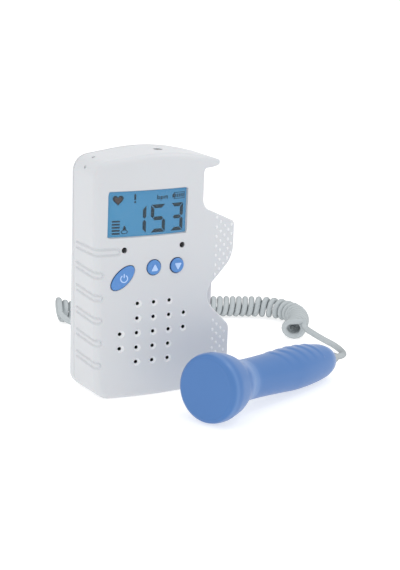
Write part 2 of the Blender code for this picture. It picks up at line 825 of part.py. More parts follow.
def make_front_cover():
    cover = bowed_case("front_cover", case_corners, front_y, seam_y, 12, 4, "white_case")
    fill = plain_box(
        "fill",
        (inner_right_x, face_y(inner_right_x) + 2 * wall, valley_z - 2 * valley_radius),
        (cradle_lip_x, seam_y, valley_z + 2 * valley_radius),
    )
    cover = join(cover, fill)
    cover = cut(cover, channel_cutter(-rear_foot_y))
    cavity = bowed_case("cavity", cavity_corners, front_y + wall, seam_y + overrun, 10, 1)
    cover = cut(cover, cavity)
    for x, z in screw_places:
        post = rod("post", post_radius, 0, seam_y - clearance - face_y(x) - wall / 2,
                   along_y(x, face_y(x) + wall / 2, z), steps=12)
        cover = join(cover, post)
    x, z = grille_place
    seat_back = speaker_front_y + speaker_seat_depth
    seat_inner = speaker_radius + clearance
    seat = turned(
        "seat",
        [
            (seat_inner, front_y + wall / 2),
            (seat_inner + speaker_seat_wall, front_y + wall / 2),
            (seat_inner + speaker_seat_wall, seat_back),
            (seat_inner, seat_back),
        ],
        steps=24,
        place=along_y(x, 0, z),
    )
    cover = join(cover, seat)

    cutters = []
    for x, z in screw_places:
        bite = screw_length - screw_boss()
        cutters.append(
            rod("bite", screw_shank_radius + clearance / 2, -bite - clearance, overrun,
                along_y(x, seam_y, z), steps=12)
        )
    recess_back = front_y + window_recess + window_wall + clearance
    cutters.append(
        bowed_block("recess", window_left_x - clearance, window_right_x + clearance,
                    window_low_z - clearance, window_high_z + clearance, window_corner_radius + clearance,
                    front_y - overrun, recess_back)
    )
    for place in (volume_up_place, volume_down_place):
        cutters.append(rod("hole", round_key_radius + clearance, -overrun, wall + overrun, at_face(place)))
    keyhole = power_outline(clearance)
    key_x = power_place[0]
    cutters.append(extruded("keyhole", keyhole, face_y(key_x) - overrun, face_y(key_x) + wall + overrun))
    for place in (lamp_left_place, lamp_right_place):
        cutters.append(
            rod("lamp_hole", lamp_radius + clearance, -overrun, wall + overrun, at_face(place), steps=14)
        )
    for column, rows in grille_steps:
        for row in rows:
            place = (grille_place[0] + column * grille_pitch_x, grille_place[1] + row * grille_pitch_z)
            profile = [
                (0, -countersink_depth),
                (2 * countersink_radius - grille_hole_radius, -countersink_depth),
                (grille_hole_radius, countersink_depth),
                (grille_hole_radius, wall + overrun),
                (0, wall + overrun),
            ]
            cutters.append(turned("grille_hole", profile, steps=8, place=at_face(place)))
    cutters.append(
        rod("jack_hole", jack_hole_radius, crest_z - 3 * wall, crest_z + overrun,
            Matrix.Translation((jack_x, jack_y, 0)))
    )
    corner = Vector((left_top_x + top_corner_radius, left_top_z - top_corner_radius))
    for turn, y in strap_holes:
        place = Matrix.Translation((corner.x, y, corner.y)) @ Matrix.Rotation(math.pi / 2 - turn, 4, "Y")
        cutters.append(
            rod("strap_hole", strap_hole_radius, top_corner_radius - 1.2 * wall,
                top_corner_radius + overrun, place, steps=12)
        )
    cover = cut(cover, gather(cutters))
    opening = bowed_block("opening", window_left_x + window_ledge, window_right_x - window_ledge,
                          window_low_z + window_ledge, window_high_z - window_ledge,
                          window_corner_radius, front_y, front_y + wall + overrun)
    cover = cut(cover, opening)
    grooves = []
    for k in range(rib_count):
        z = rib_low_z + rib_pitch * k
        path = rib_groove(z, rib_width, rib_front_x, rib_rear_y, rib_rise)
        grooves.append(tube_mesh("groove", path, groove_radius))
    path = rib_groove(long_rib_z, long_rib_width, long_rib_front_x, long_rib_rear_y, 0.0)
    grooves.append(tube_mesh("groove", path, groove_radius))
    return cut(cover, gather(grooves))


def screw_boss():
    """How much of a case screw is in the rear cover."""
    return rear_y - seam_y - screw_head_height


# The battery, its tray and the door's plane on the sloping back
battery_width, battery_depth, battery_height = battery_size
tray_left = battery_x - battery_width / 2 - clearance
tray_right = battery_x + battery_width / 2 + clearance
tray_low = battery_low_z - clearance
tray_high = battery_low_z + battery_height + terminal_height + snap_thickness + tray_room
door_low_z = tray_low - tray_ledge
slope = math.atan2(rear_foot_y - rear_y, slope_high_z - slope_low_z)
door_height = (tray_high + tray_ledge - door_low_z) / math.cos(slope)
door_place = Matrix.Translation((battery_x, back_y(door_low_z), door_low_z)) @ Matrix.Rotation(slope, 4, "X")
battery_back_y = back_y(tray_high) - door_thickness - 2 * clearance
tray_floor = battery_back_y - battery_depth - clearance


def door_block(name, grow, low_y, high_y, low_z=0.0, high_z=None, half=None, finish=None):
    """A block in the door's own frame: x across, y outwards and z up from the hinge."""
    half = tray_right - battery_x + tray_ledge if half is None else half
    high_z = door_height if high_z is None else high_z
    made = plain_box(name, (-half - grow, low_y, low_z - grow), (half + grow, high_y, high_z + grow), finish)
    made.data.transform(door_place)
    return made


def back_case(name, corners, front, inset, rim_steps, finish=None):
    """A body from the seam back to the sloping, rounded back."""
    points = rounded_outline(corners)
    rims = fitted_rims(points)
    rings = [[(place.x, front, place.y) for place, _, _ in points]]
    for k in range(rim_steps, -1, -1):
        turn = math.pi / 2 * k / rim_steps
        ring = []
        for (place, normal, _), rim in zip(points, rims):
            inner = place - normal * rim * (1 - math.sin(turn))
            depth = back_y(inner.y) - inset - rim * (1 - math.cos(turn))
            ring.append((inner.x, depth, inner.y))
        rings.append(ring)
    bm = slab(None, rings)
    for level in (slope_low_z, slope_high_z):
        bmesh.ops.bisect_plane(bm, geom=bm.verts[:] + bm.edges[:] + bm.faces[:],
                               plane_co=(0, 0, level), plane_no=(0, 0, 1))
    for v in bm.verts:
        on_cap = v.co.y > front + wall / 2 and all(len(f.verts) > 4 for f in v.link_faces)
        if on_cap:
            v.co.y = back_y(v.co.z) - inset
    bmesh.ops.triangulate(bm, faces=bm.faces[:])
    return place_mesh(name, bm, finish)


def make_rear_cover():
    cover = back_case("rear_cover", back_corners, seam_y + clearance, 0.0, 3, "white_case")
    cover = cut(cover, channel_cutter(-rear_foot_y))
    cavity = back_case("cavity", cavity_corners, seam_y - overrun, wall, 1)
    cover = cut(cover, cavity)
    tray = plain_box(
        "tray",
        (tray_left - tray_wall, tray_floor - tray_wall, tray_low - tray_wall),
        (tray_right + tray_wall, back_y(tray_high) - wall / 2, tray_high + tray_wall),
    )
    cover = join(cover, tray)
    for x, z in screw_places:
        boss = rod("boss", post_radius, 0, back_y(z) - wall / 2 - seam_y - clearance,
                   along_y(x, seam_y + clearance, z), steps=12)
        cover = join(cover, boss)
    hold = plain_box("hold", (tray_left, tray_floor, tray_low), (tray_right, rear_foot_y + overrun, tray_high))
    cover = cut(cover, hold)
    recess = door_block("recess", clearance, -door_thickness - clearance, overrun)
    cover = cut(cover, recess)
    cutters = []
    for side in (-1, 1):
        notch = door_block("notch", clearance, -door_thickness - 2 * door_tab_thickness - clearance,
                           -door_thickness, -door_tab_reach - clearance, door_tab_height,
                           door_tab_width / 2)
        notch.data.transform(Matrix.Translation((side * door_tab_x, 0, 0)))
        cutters.append(notch)
    seat = screw_boss() + clearance / 2
    shank, head = screw_shank_radius + clearance, screw_head_radius + clearance
    for x, z in screw_places:
        end = back_y(z) - seam_y + overrun
        profile = [(0, -overrun), (shank, -overrun), (shank, seat), (head, seat), (head, end), (0, end)]
        cutters.append(turned("screw_hole", profile, steps=14, place=along_y(x, seam_y, z)))
    cutters.append(rod("cord_hole", gland_root_radius + clearance, rear_y - seam_y - 2 * wall,
                       rear_foot_y - seam_y + overrun, along_y(gland_x, seam_y, gland_z)))
    return cut(cover, gather(cutters))


def make_door():
    hinge = bpy.data.objects.new("door_hinge", None)
    bpy.context.scene.collection.objects.link(hinge)
    hinge.matrix_world = door_place
    half = tray_right - battery_x + tray_ledge
    door = plain_box("battery_door", (-half, -door_thickness, 0), (half, 0, door_height), "white_case")
    for side in (-1, 1):
        middle = side * door_tab_x
        left, right = middle - door_tab_width / 2, middle + door_tab_width / 2
        deep = -door_thickness - clearance
        foot = plain_box("foot", (left, deep - door_tab_thickness, -door_tab_reach),
                         (right, deep, door_tab_height))
        root = plain_box("root", (left, deep - door_tab_thickness / 2, clearance),
                         (right, -door_thickness / 2, door_tab_height))
        door = join(door, join(foot, root))
    door.parent = hinge
    door.data.name = "battery_door"
    return door


def make_screws():
    for k, (x, z) in enumerate(screw_places):
        base = seam_y + screw_boss() + clearance
        profile = [
            (0, base - screw_length),
            (screw_shank_radius * 0.6, base - screw_length),
            (screw_shank_radius, base - screw_length + screw_shank_radius),
            (screw_shank_radius, base),
            (screw_head_radius, base),
            (screw_head_radius, base + screw_head_height * 0.6),
            (screw_head_radius * 0.75, base + screw_head_height),
            (screw_drive, base + screw_head_height),
            (screw_drive * 0.3, base + screw_head_height * 0.3),
            (0, base + screw_head_height * 0.3),
        ]
        turned(f"case_screw_{k + 1}", profile, "steel", 12, along_y(x, 0, z))


def make_screen():
    bowed_block("screen_window", window_left_x, window_right_x, window_low_z, window_high_z,
                window_corner_radius, front_y + window_recess, front_y + window_recess + window_wall,
                8, "clear_window")
    left, right = window_left_x - screen_border, window_right_x + screen_border
    low, high = window_low_z - screen_border, window_high_z + screen_border
    front = front_y + bow(left) + wall + clearance
    back = front + screen_thickness
    plain_box("screen_glass", (left, front, low), (right, back, high), "screen_glass")
    lit = back + clearance
    plain_box("screen_backlight", (left, lit, low), (right, lit + backlight_thickness, high),
              "white_diffuser", backlight_thickness / 5)
    end = board_y - clearance
    reach = clearance + holder_wall
    holder = plain_box("screen_holder", (left - reach, front + wall / 2, low - reach),
                       (right + reach, end, high + reach), "black_plastic")
    room = plain_box("room", (left - clearance, front - overrun, low - clearance),
                     (right + clearance, lit + backlight_thickness + clearance, high + clearance))
    cut(holder, room)


def key_seat_y(x, reach):
    """Where a flat collar of this reach can rest behind the bowed wall."""
    return front_y + max(bow(x - reach), bow(x + reach)) + wall + clearance


def make_round_key(name, place):
    x, z = place
    top = face_y(x) - key_proud
    seat = key_seat_y(x, round_key_radius + key_collar)
    stem = board_y - switch_body - switch_travel() - top
    collar = seat - top
    profile = [
        (0, 0),
        (round_key_radius * 0.5, key_edge * 0.08),
        (round_key_radius - key_edge, key_edge * 0.3),
        (round_key_radius - key_edge * 0.3, key_edge * 0.65),
        (round_key_radius, key_edge * 1.4),
        (round_key_radius, collar),
        (round_key_radius + key_collar, collar),
        (round_key_radius + key_collar, collar + key_collar_thickness),
        (key_stem_radius, collar + key_collar_thickness),
        (key_stem_radius, stem),
        (0, stem),
    ]
    made = turned(name, profile, "blue_key", 26)
    made.data.transform(Matrix.Rotation(-math.pi / 2, 4, "X"))
    made.location = (x, top, z)
    return made


def switch_travel():
    """From a switch's body to the end of a key's stem."""
    return switch_plunger + key_travel + clearance


def make_power_key():
    x, z = power_place
    top = face_y(x) - key_proud
    outline = power_outline()
    seat = key_seat_y(x, max(p.x for p in power_outline(key_collar)) - x)

    def ring(grow, y):
        made = []
        for p in power_outline(grow):
            made.append((p.x - x, y - top, p.y - z))
        return made

    rings = [
        [((p.x - x) * 0.55, 0.0, (p.y - z) * 0.55) for p in outline],
        ring(-key_edge, top + key_edge * 0.2),
        ring(-key_edge * 0.3, top + key_edge * 0.6),
        ring(0.0, top + key_edge * 1.3),
        ring(0.0, seat),
    ]
    made = slab("power_key", rings, "blue_key")
    collar = slab("collar", [ring(key_collar, seat - key_collar_thickness / 20),
                             ring(key_collar, seat + key_collar_thickness)])
    made = join(made, collar)
    stem = rod("stem", key_stem_radius, seat - top, board_y - switch_body - switch_travel() - top,
               Matrix.Rotation(-math.pi / 2, 4, "X"))
    made = join(made, stem)
    made.location = (x, top, z)
    return made


def make_switch(name, place):
    x, z = place
    half = switch_side / 2
    front = board_y - clearance - switch_body
    body = plain_box(name, (x - half, front, z - half), (x + half, board_y - clearance, z + half),
                     "black_plastic")
    plunger = rod("plunger", switch_plunger_radius, front - switch_plunger, front + switch_body / 2,
                  along_y(x, 0, z), steps=16)
    return join(body, plunger)


def make_board():
    left, right = board_left_x, board_right_x
    radius = board_corner_radius
    corners = box_corners(left, right, board_low_z, board_high_z, radius)
    outline = [p for p, _, _ in rounded_outline(corners)]
    extruded("main_board", outline, board_y, board_y + board_thickness, "green_board")
    back = board_y + board_thickness + clearance
    half = chip_side / 2
    for name, (x, z) in (("controller_chip", controller_place), ("amplifier_chip", amplifier_place)):
        plain_box(name, (x - half, back, z - half), (x + half, back + chip_thickness, z + half),
                  "black_plastic", chip_thickness / 8)


def make_speaker():
    x, z = grille_place
    front = speaker_front_y
    basket_y = front + speaker_rim_depth
    throat_y = basket_y + speaker_basket_depth
    inner = speaker_radius - speaker_rim - speaker_sheet
    place = along_y(x, 0, z)
    turned("speaker_basket", [
        (0, throat_y),
        (speaker_throat_radius + speaker_sheet, throat_y),
        (speaker_radius, basket_y),
        (speaker_radius, front),
        (speaker_radius - speaker_rim, front),
        (speaker_radius - speaker_rim, basket_y - speaker_sheet),
        (speaker_throat_radius, throat_y - speaker_sheet),
        (0, throat_y - speaker_sheet),
    ], "black_plastic", 24, place)
    turned("speaker_cone", [
        (0, front + cone_sheet),
        (speaker_throat_radius / 2, front + cone_sheet * 1.4),
        (speaker_throat_radius, throat_y - speaker_sheet * 2 - cone_sheet * 2),
        (inner, front + cone_sheet),
        (inner, front + 2 * cone_sheet),
        (speaker_throat_radius, throat_y - speaker_sheet * 2 - cone_sheet),
        (speaker_throat_radius / 2, front + cone_sheet * 2.4),
        (0, front + cone_sheet * 2),
    ], "speaker_paper", 24, place)
    turned("speaker_magnet", [
        (0, throat_y + clearance),
        (magnet_radius, throat_y + clearance),
        (magnet_radius, throat_y + clearance + magnet_depth),
        (0, throat_y + clearance + magnet_depth),
    ], "steel", 24, place)


def make_lamps():
    for name, (x, z) in (("lamp_left", lamp_left_place), ("lamp_right", lamp_right_place)):
        front = face_y(x) + lamp_recess
        collar = key_seat_y(x, lamp_radius + lamp_collar + clearance)
        end = board_y - clearance
        turned(name, [
            (0, front),
            (lamp_radius * 0.6, front + lamp_radius * 0.12),
            (lamp_radius * 0.92, front + lamp_radius * 0.4),
            (lamp_radius, front + lamp_radius * 0.8),
            (lamp_radius, collar),
            (lamp_radius + lamp_collar + clearance, collar),
            (lamp_radius + lamp_collar + clearance, end),
            (0, end),
        ], "lamp_lens", 16, along_y(x, 0, z))


def make_jack():
    top = crest_z - jack_recess - 2 * wall
    low = board_high_z + clearance  # it stands on the board's upper edge
    half = jack_width / 2
    body = plain_box("headphone_jack", (jack_x - half, jack_y - half, low), (jack_x + half, jack_y + half, top),
                     "black_plastic", half / 8)
    neck = rod("neck", jack_neck_radius, top - half, top + jack_neck_height / 2,
               Matrix.Translation((jack_x, jack_y, 0)))
    body = join(body, neck)
    bore = rod("bore", jack_bore_radius, top + jack_neck_height - jack_bore_depth, top + jack_neck_height,
               Matrix.Translation((jack_x, jack_y, 0)), steps=18)
    return cut(body, bore)


def make_battery():
    y = battery_back_y - battery_depth
    low, high = battery_low_z, battery_low_z + battery_height
    body = plain_box("battery", (battery_x - battery_width / 2, y, low),
                     (battery_x + battery_width / 2, battery_back_y, high), "battery_jacket", battery_edge)
    for side in (-1, 1):
        place = Matrix.Translation((battery_x + side * terminal_spacing / 2, y + battery_depth / 2, 0))
        body = join(body, rod("terminal", terminal_radius, high - battery_edge, high + terminal_height,
                              place, steps=16))
    low = high + terminal_height + clearance
    half = battery_width / 2 - battery_edge
    deep = (battery_depth - snap_width) / 2
    plain_box("battery_snap", (battery_x - half, y + deep, low),
              (battery_x + half, battery_back_y - deep, low + snap_thickness), "black_plastic",
              snap_thickness / 8)


def make_gland():
    inner = back_y(gland_z) - wall - clearance
    skin = back_y(gland_z)
    root, tip = gland_root_radius, gland_tip_radius
    bore = cord_radius + cord_bore
    end = skin + gland_length
    profile = [
        (bore, inner - gland_collar_thickness),
        (root + gland_collar, inner - gland_collar_thickness),
        (root + gland_collar, inner - clearance),
        (root, inner - clearance),
        (root, skin + gland_rib),
    ]
    pitch = (gland_length - 2 * gland_rib) / gland_rib_count
    for k in range(gland_rib_count):
        at = skin + gland_rib + pitch * k
        here = root + (tip - root) * (k + 0.5) / gland_rib_count
        profile += [
            (here, at + pitch * 0.1),
            (here, at + pitch * 0.55),
            (here - gland_rib, at + pitch * 0.65),
            (here - gland_rib, at + pitch * 0.95),
        ]
    profile += [(tip, end - gland_rib), (tip, end), (bore, end)]
    turned("cord_gland", profile, "grey_cord", 16, along_y(gland_x, 0, gland_z))


# Cord: a lead, the coil and a tail, one after the other with a small gap between them
def eased(share):
    share = min(max(share, 0.0), 1.0)
    return share * share * (3 - 2 * share)


def coil_path():
    """The coil's centreline, its turns set wider apart where it bends, with straight ends."""
    ground = fine_route([(x, y, 0.0) for x, y in coil_route])
    legs = [after - before for before, after in zip(ground, ground[1:])]
    room = [0.0]  # what the inner side of the bend leaves for the turns
    for leg, following in zip(legs, legs[1:] + legs[-1:]):
        room.append(room[-1] + leg.length - coil_radius * leg.angle(following))
    turns = int(room[-1] / (2 * cord_radius + coil_gap))
    all_turns = 2 * math.pi * turns + coil_start_turn - coil_end_turn
    count = math.ceil(all_turns / (2 * math.pi) * coil_points_per_turn)
    path = []
    at = 0
    for k in range(count + 1):
        goal = room[-1] * k / count
        while at < len(legs) - 1 and room[at + 1] < goal:
            at += 1
        share = (goal - room[at]) / (room[at + 1] - room[at])
        here = ground[at].lerp(ground[at + 1], share)
        along = legs[max(at - 1, 0)].lerp(legs[min(at + 1, len(legs) - 1)], share).normalized()
        side = Vector((-along.y, along.x, 0.0))
        turned_by = all_turns * k / count
        turn = coil_start_turn - turned_by
        opened = eased(1 - turned_by / (2 * math.pi * coil_open_turns))
        widened = eased(1 - (all_turns - turned_by) / (2 * math.pi * coil_open_turns))
        reach = coil_radius + (coil_start_radius - coil_radius) * opened
        width = reach + (coil_end_width - coil_radius) * widened
        height = cord_radius + reach + reach * math.sin(turn)
        path.append(here + side * width * math.cos(turn) + Vector((0, 0, height)))
    first = (path[0] - path[1]).normalized()
    last = (path[-1] - path[-2]).normalized()
    return [path[0] + first * coil_lead_in, *path, path[-1] + last * coil_lead_in]


def least_gap(path, radius, skip):
    """The least gap between two places of a tube that are over skip points apart."""
    least = None
    for i, here in enumerate(path):
        for other in path[i + skip:]:
            gap = (other - here).length - 2 * radius
            least = gap if least is None else min(least, gap)
    return least


def make_cord():
    coil = coil_path()
    tube("cord_coil", coil, cord_radius, "grey_cord", 1)
    gap = least_gap(coil, cord_radius, coil_points_per_turn // 2)
    print(f"least gap of the coil to itself: {gap / mm:.2f} mm over {len(coil)} points")

    start = Vector((gland_x, back_y(gland_z) + gland_length - cord_seat, gland_z))
    straight = start + Vector((0, cord_seat + 2 * cord_radius, 0))
    inward = (coil[0] - coil[1]).normalized()
    end = coil[0] + inward * clearance
    before = end + inward * 2 * cord_radius
    lead = [start, *smooth_route([straight, *lead_route, before], cord_spacing), end]
    tube("cord_lead", lead, cord_radius, "grey_cord", 2)

    outward = (coil[-1] - coil[-2]).normalized()
    start = coil[-1] + outward * clearance
    after = start + outward * 2 * cord_radius
    place = probe_matrix()
    boot_end = probe_length + probe_boot_length
    seat = place @ Vector((0, 0, boot_end - cord_seat))
    leave = place @ Vector((0, 0, boot_end + 2 * cord_radius))
    tail = [start, *smooth_route([after, *tail_route, leave], cord_spacing), seat]
    tube("cord_tail", tail, cord_radius, "grey_cord", 2)
    for name, strand in (("lead", lead[:-3]), ("tail", tail[3:])):
        nearest = min((a - b).length for a in strand for b in coil) - 2 * cord_radius
        print(f"least gap of the {name} to the coil: {nearest / mm:.2f} mm")


# Probe, built along +Z from its face and then laid on the floor
def probe_matrix():
    """Lays the probe on its head's rim and its handle's bulge."""
    points = [(s * probe_length, r * probe_head_radius) for s, r in probe_profile_shares]
    middle = probe_length / 2
    best = None
    for low in points:
        for high in points:
            if low[0] < middle < high[0]:
                fall = (low[1] - high[1]) / (high[0] - low[0])
                at_middle = low[1] - fall * (middle - low[0])
                if best is None or at_middle > best[0]:
                    best = (at_middle, math.atan(fall), low)
    _, tilt, (s, r) = best
    height = s * math.sin(tilt) + r * math.cos(tilt)
    x, y = probe_face_place
    turn = Matrix.Rotation(probe_heading, 4, "Z") @ Matrix.Rotation(math.pi / 2 + tilt, 4, "Y")
    return Matrix.Translation((x, y, height)) @ turn


def probe_radius(s):
    points = [(a * probe_length, b * probe_head_radius) for a, b in probe_profile_shares]
    for (a, ra), (b, rb) in zip(points, points[1:]):
        if a <= s <= b:
            return ra + (rb - ra) * (s - a) / (b - a)
    return points[-1][1]


def grip_ridge(s, turn):
    """How far the grip stands out at a place along the probe and round its axis."""
    aside = abs((turn % (2 * math.pi)) - math.pi) / grip_ridge_turn
    along = (s - grip_ridge_lean * aside - grip_ridge_first) / grip_ridge_pitch
    if aside >= 1 or not 0 < along < grip_ridge_count:
        return 0.0
    share = along % 1
    rise = min(share * 3, (1 - share) * 1.5)
    return grip_ridge_height * eased(rise) * (1 - aside * aside)


def make_probe():
    anchor = bpy.data.objects.new("probe_frame", None)
    bpy.context.scene.collection.objects.link(anchor)
    anchor.matrix_world = probe_matrix()
    split = probe_split_share * probe_length
    outer = [(r * probe_head_radius, s * probe_length) for s, r in probe_profile_shares]
    steps = 24
    lip = probe_radius(split)
    spigot_outer = lip - probe_wall
    spigot_inner = spigot_outer - probe_spigot_wall
    spigot_start = split - probe_spigot_length
    inside = [(r - probe_wall, s) for r, s in outer if 2 * probe_wall < s < spigot_start - probe_wall]
    face = [(r, s) for r, s in outer if s < split]
    head = [(0, 0), *face, (lip, split - clearance / 2)]
    head += [(spigot_outer + clearance, split - clearance / 2), (spigot_outer + clearance, spigot_start - clearance)]
    head += [*reversed(inside), (inside[0][0], probe_wall), (0, probe_wall)]
    turned("probe_head", head, "blue_probe", steps, parent=anchor)

    grip_end = grip_ridge_first + grip_ridge_pitch * grip_ridge_count
    stations = [s for _, s in outer if split < s < grip_ridge_first or s > grip_end]
    for k in range(grip_ridge_count * grip_ridge_rings + 1):
        stations.append(grip_ridge_first + grip_ridge_pitch * k / grip_ridge_rings)
    rest = [(probe_radius(s), s) for s in sorted(stations)]
    cord_hole = probe_boot_root_radius + clearance
    hollow = [(r - probe_wall, s) for r, s in outer if split + probe_wall < s < probe_length * 0.93]
    handle = [(spigot_inner, spigot_start), (spigot_outer, spigot_start), (spigot_outer, split + clearance / 2)]
    handle += [(lip, split + clearance / 2), *rest, (cord_hole, probe_length)]
    handle += [(cord_hole, hollow[-1][1] + probe_wall), (hollow[-1][0], hollow[-1][1]), *reversed(hollow[:-1])]
    handle.append((spigot_inner, split + probe_wall / 2))
    made = turned("probe_handle", handle, "blue_probe", steps, parent=anchor)
    for v in made.data.vertices:
        out = Vector(v.co[:2])
        if grip_ridge_first <= v.co.z <= grip_end and out.length > probe_radius(v.co.z) - probe_wall / 2:
            v.co += out.to_3d().normalized() * grip_ridge(v.co.z, math.atan2(out.y, out.x))

    room = clearance
    front = probe_wall + room
    rod("probe_crystal", crystal_radius, front, front + crystal_thickness, Matrix(), "ceramic", 28, anchor)
    back = front + crystal_thickness + room
    rod("probe_backing", crystal_radius + backing_wall, back, back + backing_thickness, Matrix(), "resin", 28,
        anchor)
    low = split + probe_wall
    narrowest = min(probe_radius(low + probe_board_length * k / steps) for k in range(steps + 1))
    reach = (narrowest - probe_wall) * math.cos(math.pi / steps) - clearance
    half = math.sqrt(reach**2 - (probe_board_thickness / 2) ** 2)
    plain_box("probe_board", (-half, -probe_board_thickness / 2, low),
              (half, probe_board_thickness / 2, low + probe_board_length), "green_board", parent=anchor)

    inner = hollow[-1][1] - room
    root, tip = probe_boot_root_radius, probe_boot_tip_radius
    bore = cord_radius + cord_bore
    end = probe_length + probe_boot_length
    turned("probe_boot", [
        (bore, inner - gland_collar_thickness),
        (root + gland_collar, inner - gland_collar_thickness),
        (root + gland_collar, inner),
        (root, inner),
        (root, probe_length),
        (root * 1.02, probe_length + probe_boot_length * 0.1),
        (tip * 1.1, end - gland_rib),
        (tip, end),
        (bore, end),
    ], "grey_cord", 20, parent=anchor)


make_front_cover()
make_rear_cover()
make_door()
make_screws()
make_screen()
make_power_key()
make_round_key("volume_up_key", volume_up_place)
make_round_key("volume_down_key", volume_down_place)
for name, place in (
    ("power_switch", power_place),
    ("volume_up_switch", volume_up_place),
    ("volume_down_switch", volume_down_place),
):
    make_switch(name, place)
make_board()
make_speaker()
make_lamps()
make_jack()
make_battery()
make_gland()
make_cord()
make_probe()
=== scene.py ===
# Fetal doppler: the unit, its probe and their curly cord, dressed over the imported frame.
# Sizes are in millimetres here, and a finished mesh is turned to metres as it is placed. Floor and lights
# are in metres.
import math

import bmesh
import bpy
from mathutils import Matrix, Vector


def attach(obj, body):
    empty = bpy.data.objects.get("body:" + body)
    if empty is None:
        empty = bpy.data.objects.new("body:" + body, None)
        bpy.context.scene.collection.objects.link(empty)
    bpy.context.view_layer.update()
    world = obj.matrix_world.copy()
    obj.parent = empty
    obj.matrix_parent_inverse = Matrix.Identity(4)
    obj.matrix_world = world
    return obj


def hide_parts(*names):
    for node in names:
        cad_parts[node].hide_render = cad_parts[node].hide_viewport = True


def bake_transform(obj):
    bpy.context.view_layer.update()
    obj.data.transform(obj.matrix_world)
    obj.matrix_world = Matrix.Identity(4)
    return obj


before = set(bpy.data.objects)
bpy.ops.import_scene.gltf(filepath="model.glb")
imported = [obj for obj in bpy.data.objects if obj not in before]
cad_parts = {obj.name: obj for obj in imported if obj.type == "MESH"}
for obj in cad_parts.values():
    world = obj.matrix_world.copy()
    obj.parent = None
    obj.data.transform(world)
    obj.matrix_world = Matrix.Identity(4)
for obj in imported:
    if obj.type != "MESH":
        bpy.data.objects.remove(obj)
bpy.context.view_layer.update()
mm = 0.001
scene = bpy.context.scene


# Camera, at the photograph's angle
camera = {
    "place": (-443.2, -787.53, 293.27),
    "heading": math.radians(31.148),
    "down": math.radians(14.359),
    "roll": math.radians(2.334),
    "lens": 101.38,
}


def aimCamera():
    heading, down, roll = camera["heading"], camera["down"], camera["roll"]
    ahead = Vector((math.sin(heading) * math.cos(down), math.cos(heading) * math.cos(down), -math.sin(down)))
    level = Vector((math.cos(heading), -math.sin(heading), 0.0))
    upright = level.cross(ahead)
    across = level * math.cos(roll) + upright * math.sin(roll)
    up = upright * math.cos(roll) - level * math.sin(roll)
    data = bpy.data.cameras.new("photoCamera")
    data.sensor_width = 36.0
    data.lens = camera["lens"]
    data.clip_start = 0.05
    data.clip_end = 20.0
    made = bpy.data.objects.new("photoCamera", data)
    turn = Matrix((across, up, -ahead)).transposed().to_4x4()
    made.matrix_world = Matrix.Translation(Vector(camera["place"]) * mm) @ turn
    scene.collection.objects.link(made)
    scene.camera = made
    print("camera placed")


aimCamera()


# Shape of the case, its window and its speaker grille, which their finishes need too
case = {
    "wall": 2.2,
    "front": -18.0,
    "seam": 13.0,
    "rear": 18.0,
    "rearFoot": 22.0,
    "slopeLow": 8.0,
    "slopeHigh": 80.0,
    "bowRadius": 175.6,
    "bowX": -8.0,
    "leftFoot": -42.3,
    "leftTop": (-45.7, 137.0),
    "topRadius": 10.0,
    "rim": 3.8,
    "notchX": 24.1,
    "hookUnder": 130.8,
    "shoulderZ": 108.2,
    "flange": (49.8, 96.8),
    "flangeWall": 2.6,
    "cradleRadius": 13.8,
    "cradleWallX": 30.4,
    "cradleLipX": 34.5,
    "gap": 0.3,
    "softEdge": 0.28,
    "holeEnd": 5.0,
    "openingEnd": 5.2,
    "fill": (4.4, 36.5, 74.9),
}
screenPane = {
    "left": -37.5, "right": 12.0, "low": 94.9, "high": 120.9, "radius": 0.4, "recess": 0.2, "thick": 1.0,
    "seat": 1.2, "filmInset": 0.12,
}
grille = {
    "middle": (-8.0, 38.6),
    "pitch": (10.4, 8.62),
    "hole": 1.0,
    "sink": 2.5,
    "sinkDepth": 0.9,
    "reach": 29.0,
    "boreEnd": 5.0,
    # Column, first row and last row
    "rows": ((-2, -1, 0), (-1, -2, 2), (0, -2, 2), (1, -2, 2), (2, 0, 1)),
}


# Node trees
def feed(node, feeds=None, **named):
    named = {key.replace("_", " "): value for key, value in named.items()}
    for key, value in {**(feeds or {}), **named}.items():
        socket = node.inputs[key]
        if isinstance(value, bpy.types.NodeSocket):
            node.id_data.links.new(value, socket)
        elif socket.type == "RGBA":
            socket.default_value = (*value[:3], 1.0)
        else:
            socket.default_value = value


def addNode(tree, kind, feeds=None, **settings):
    made = tree.nodes.new(kind)
    for key, value in settings.items():
        setattr(made, key, value)
    feed(made, feeds)
    return made


def newTree(name, kind, takes, gives):
    tree = bpy.data.node_groups.new(name, kind)
    known = {}
    for label, (socketKind, value) in takes.items():
        socket = tree.interface.new_socket(label, in_out="INPUT", socket_type="NodeSocket" + socketKind)
        if value is not None:
            socket.default_value = value
        known[label] = socket.identifier
    for label, socketKind in gives.items():
        tree.interface.new_socket(label, in_out="OUTPUT", socket_type="NodeSocket" + socketKind)
    return tree, tree.nodes.new("NodeGroupInput").outputs, tree.nodes.new("NodeGroupOutput"), known


def addGroup(tree, group, feeds=None):
    return addNode(tree, "ShaderNodeGroup", feeds, node_tree=group).outputs


def objectPoint(tree):
    return addNode(tree, "ShaderNodeTexCoord").outputs["Object"]


def calc(operation, *values, clamp=False):
    tree = next(value.id_data for value in values if isinstance(value, bpy.types.NodeSocket))
    made = addNode(tree, "ShaderNodeMath", dict(enumerate(values)), operation=operation, use_clamp=clamp)
    return made.outputs[0]


def ramp(value, low, high, start=0.0, end=1.0, kind="LINEAR"):
    feeds = {"Value": value, "From Min": low, "From Max": high, "To Min": start, "To Max": end}
    return addNode(value.id_data, "ShaderNodeMapRange", feeds, interpolation_type=kind).outputs["Result"]


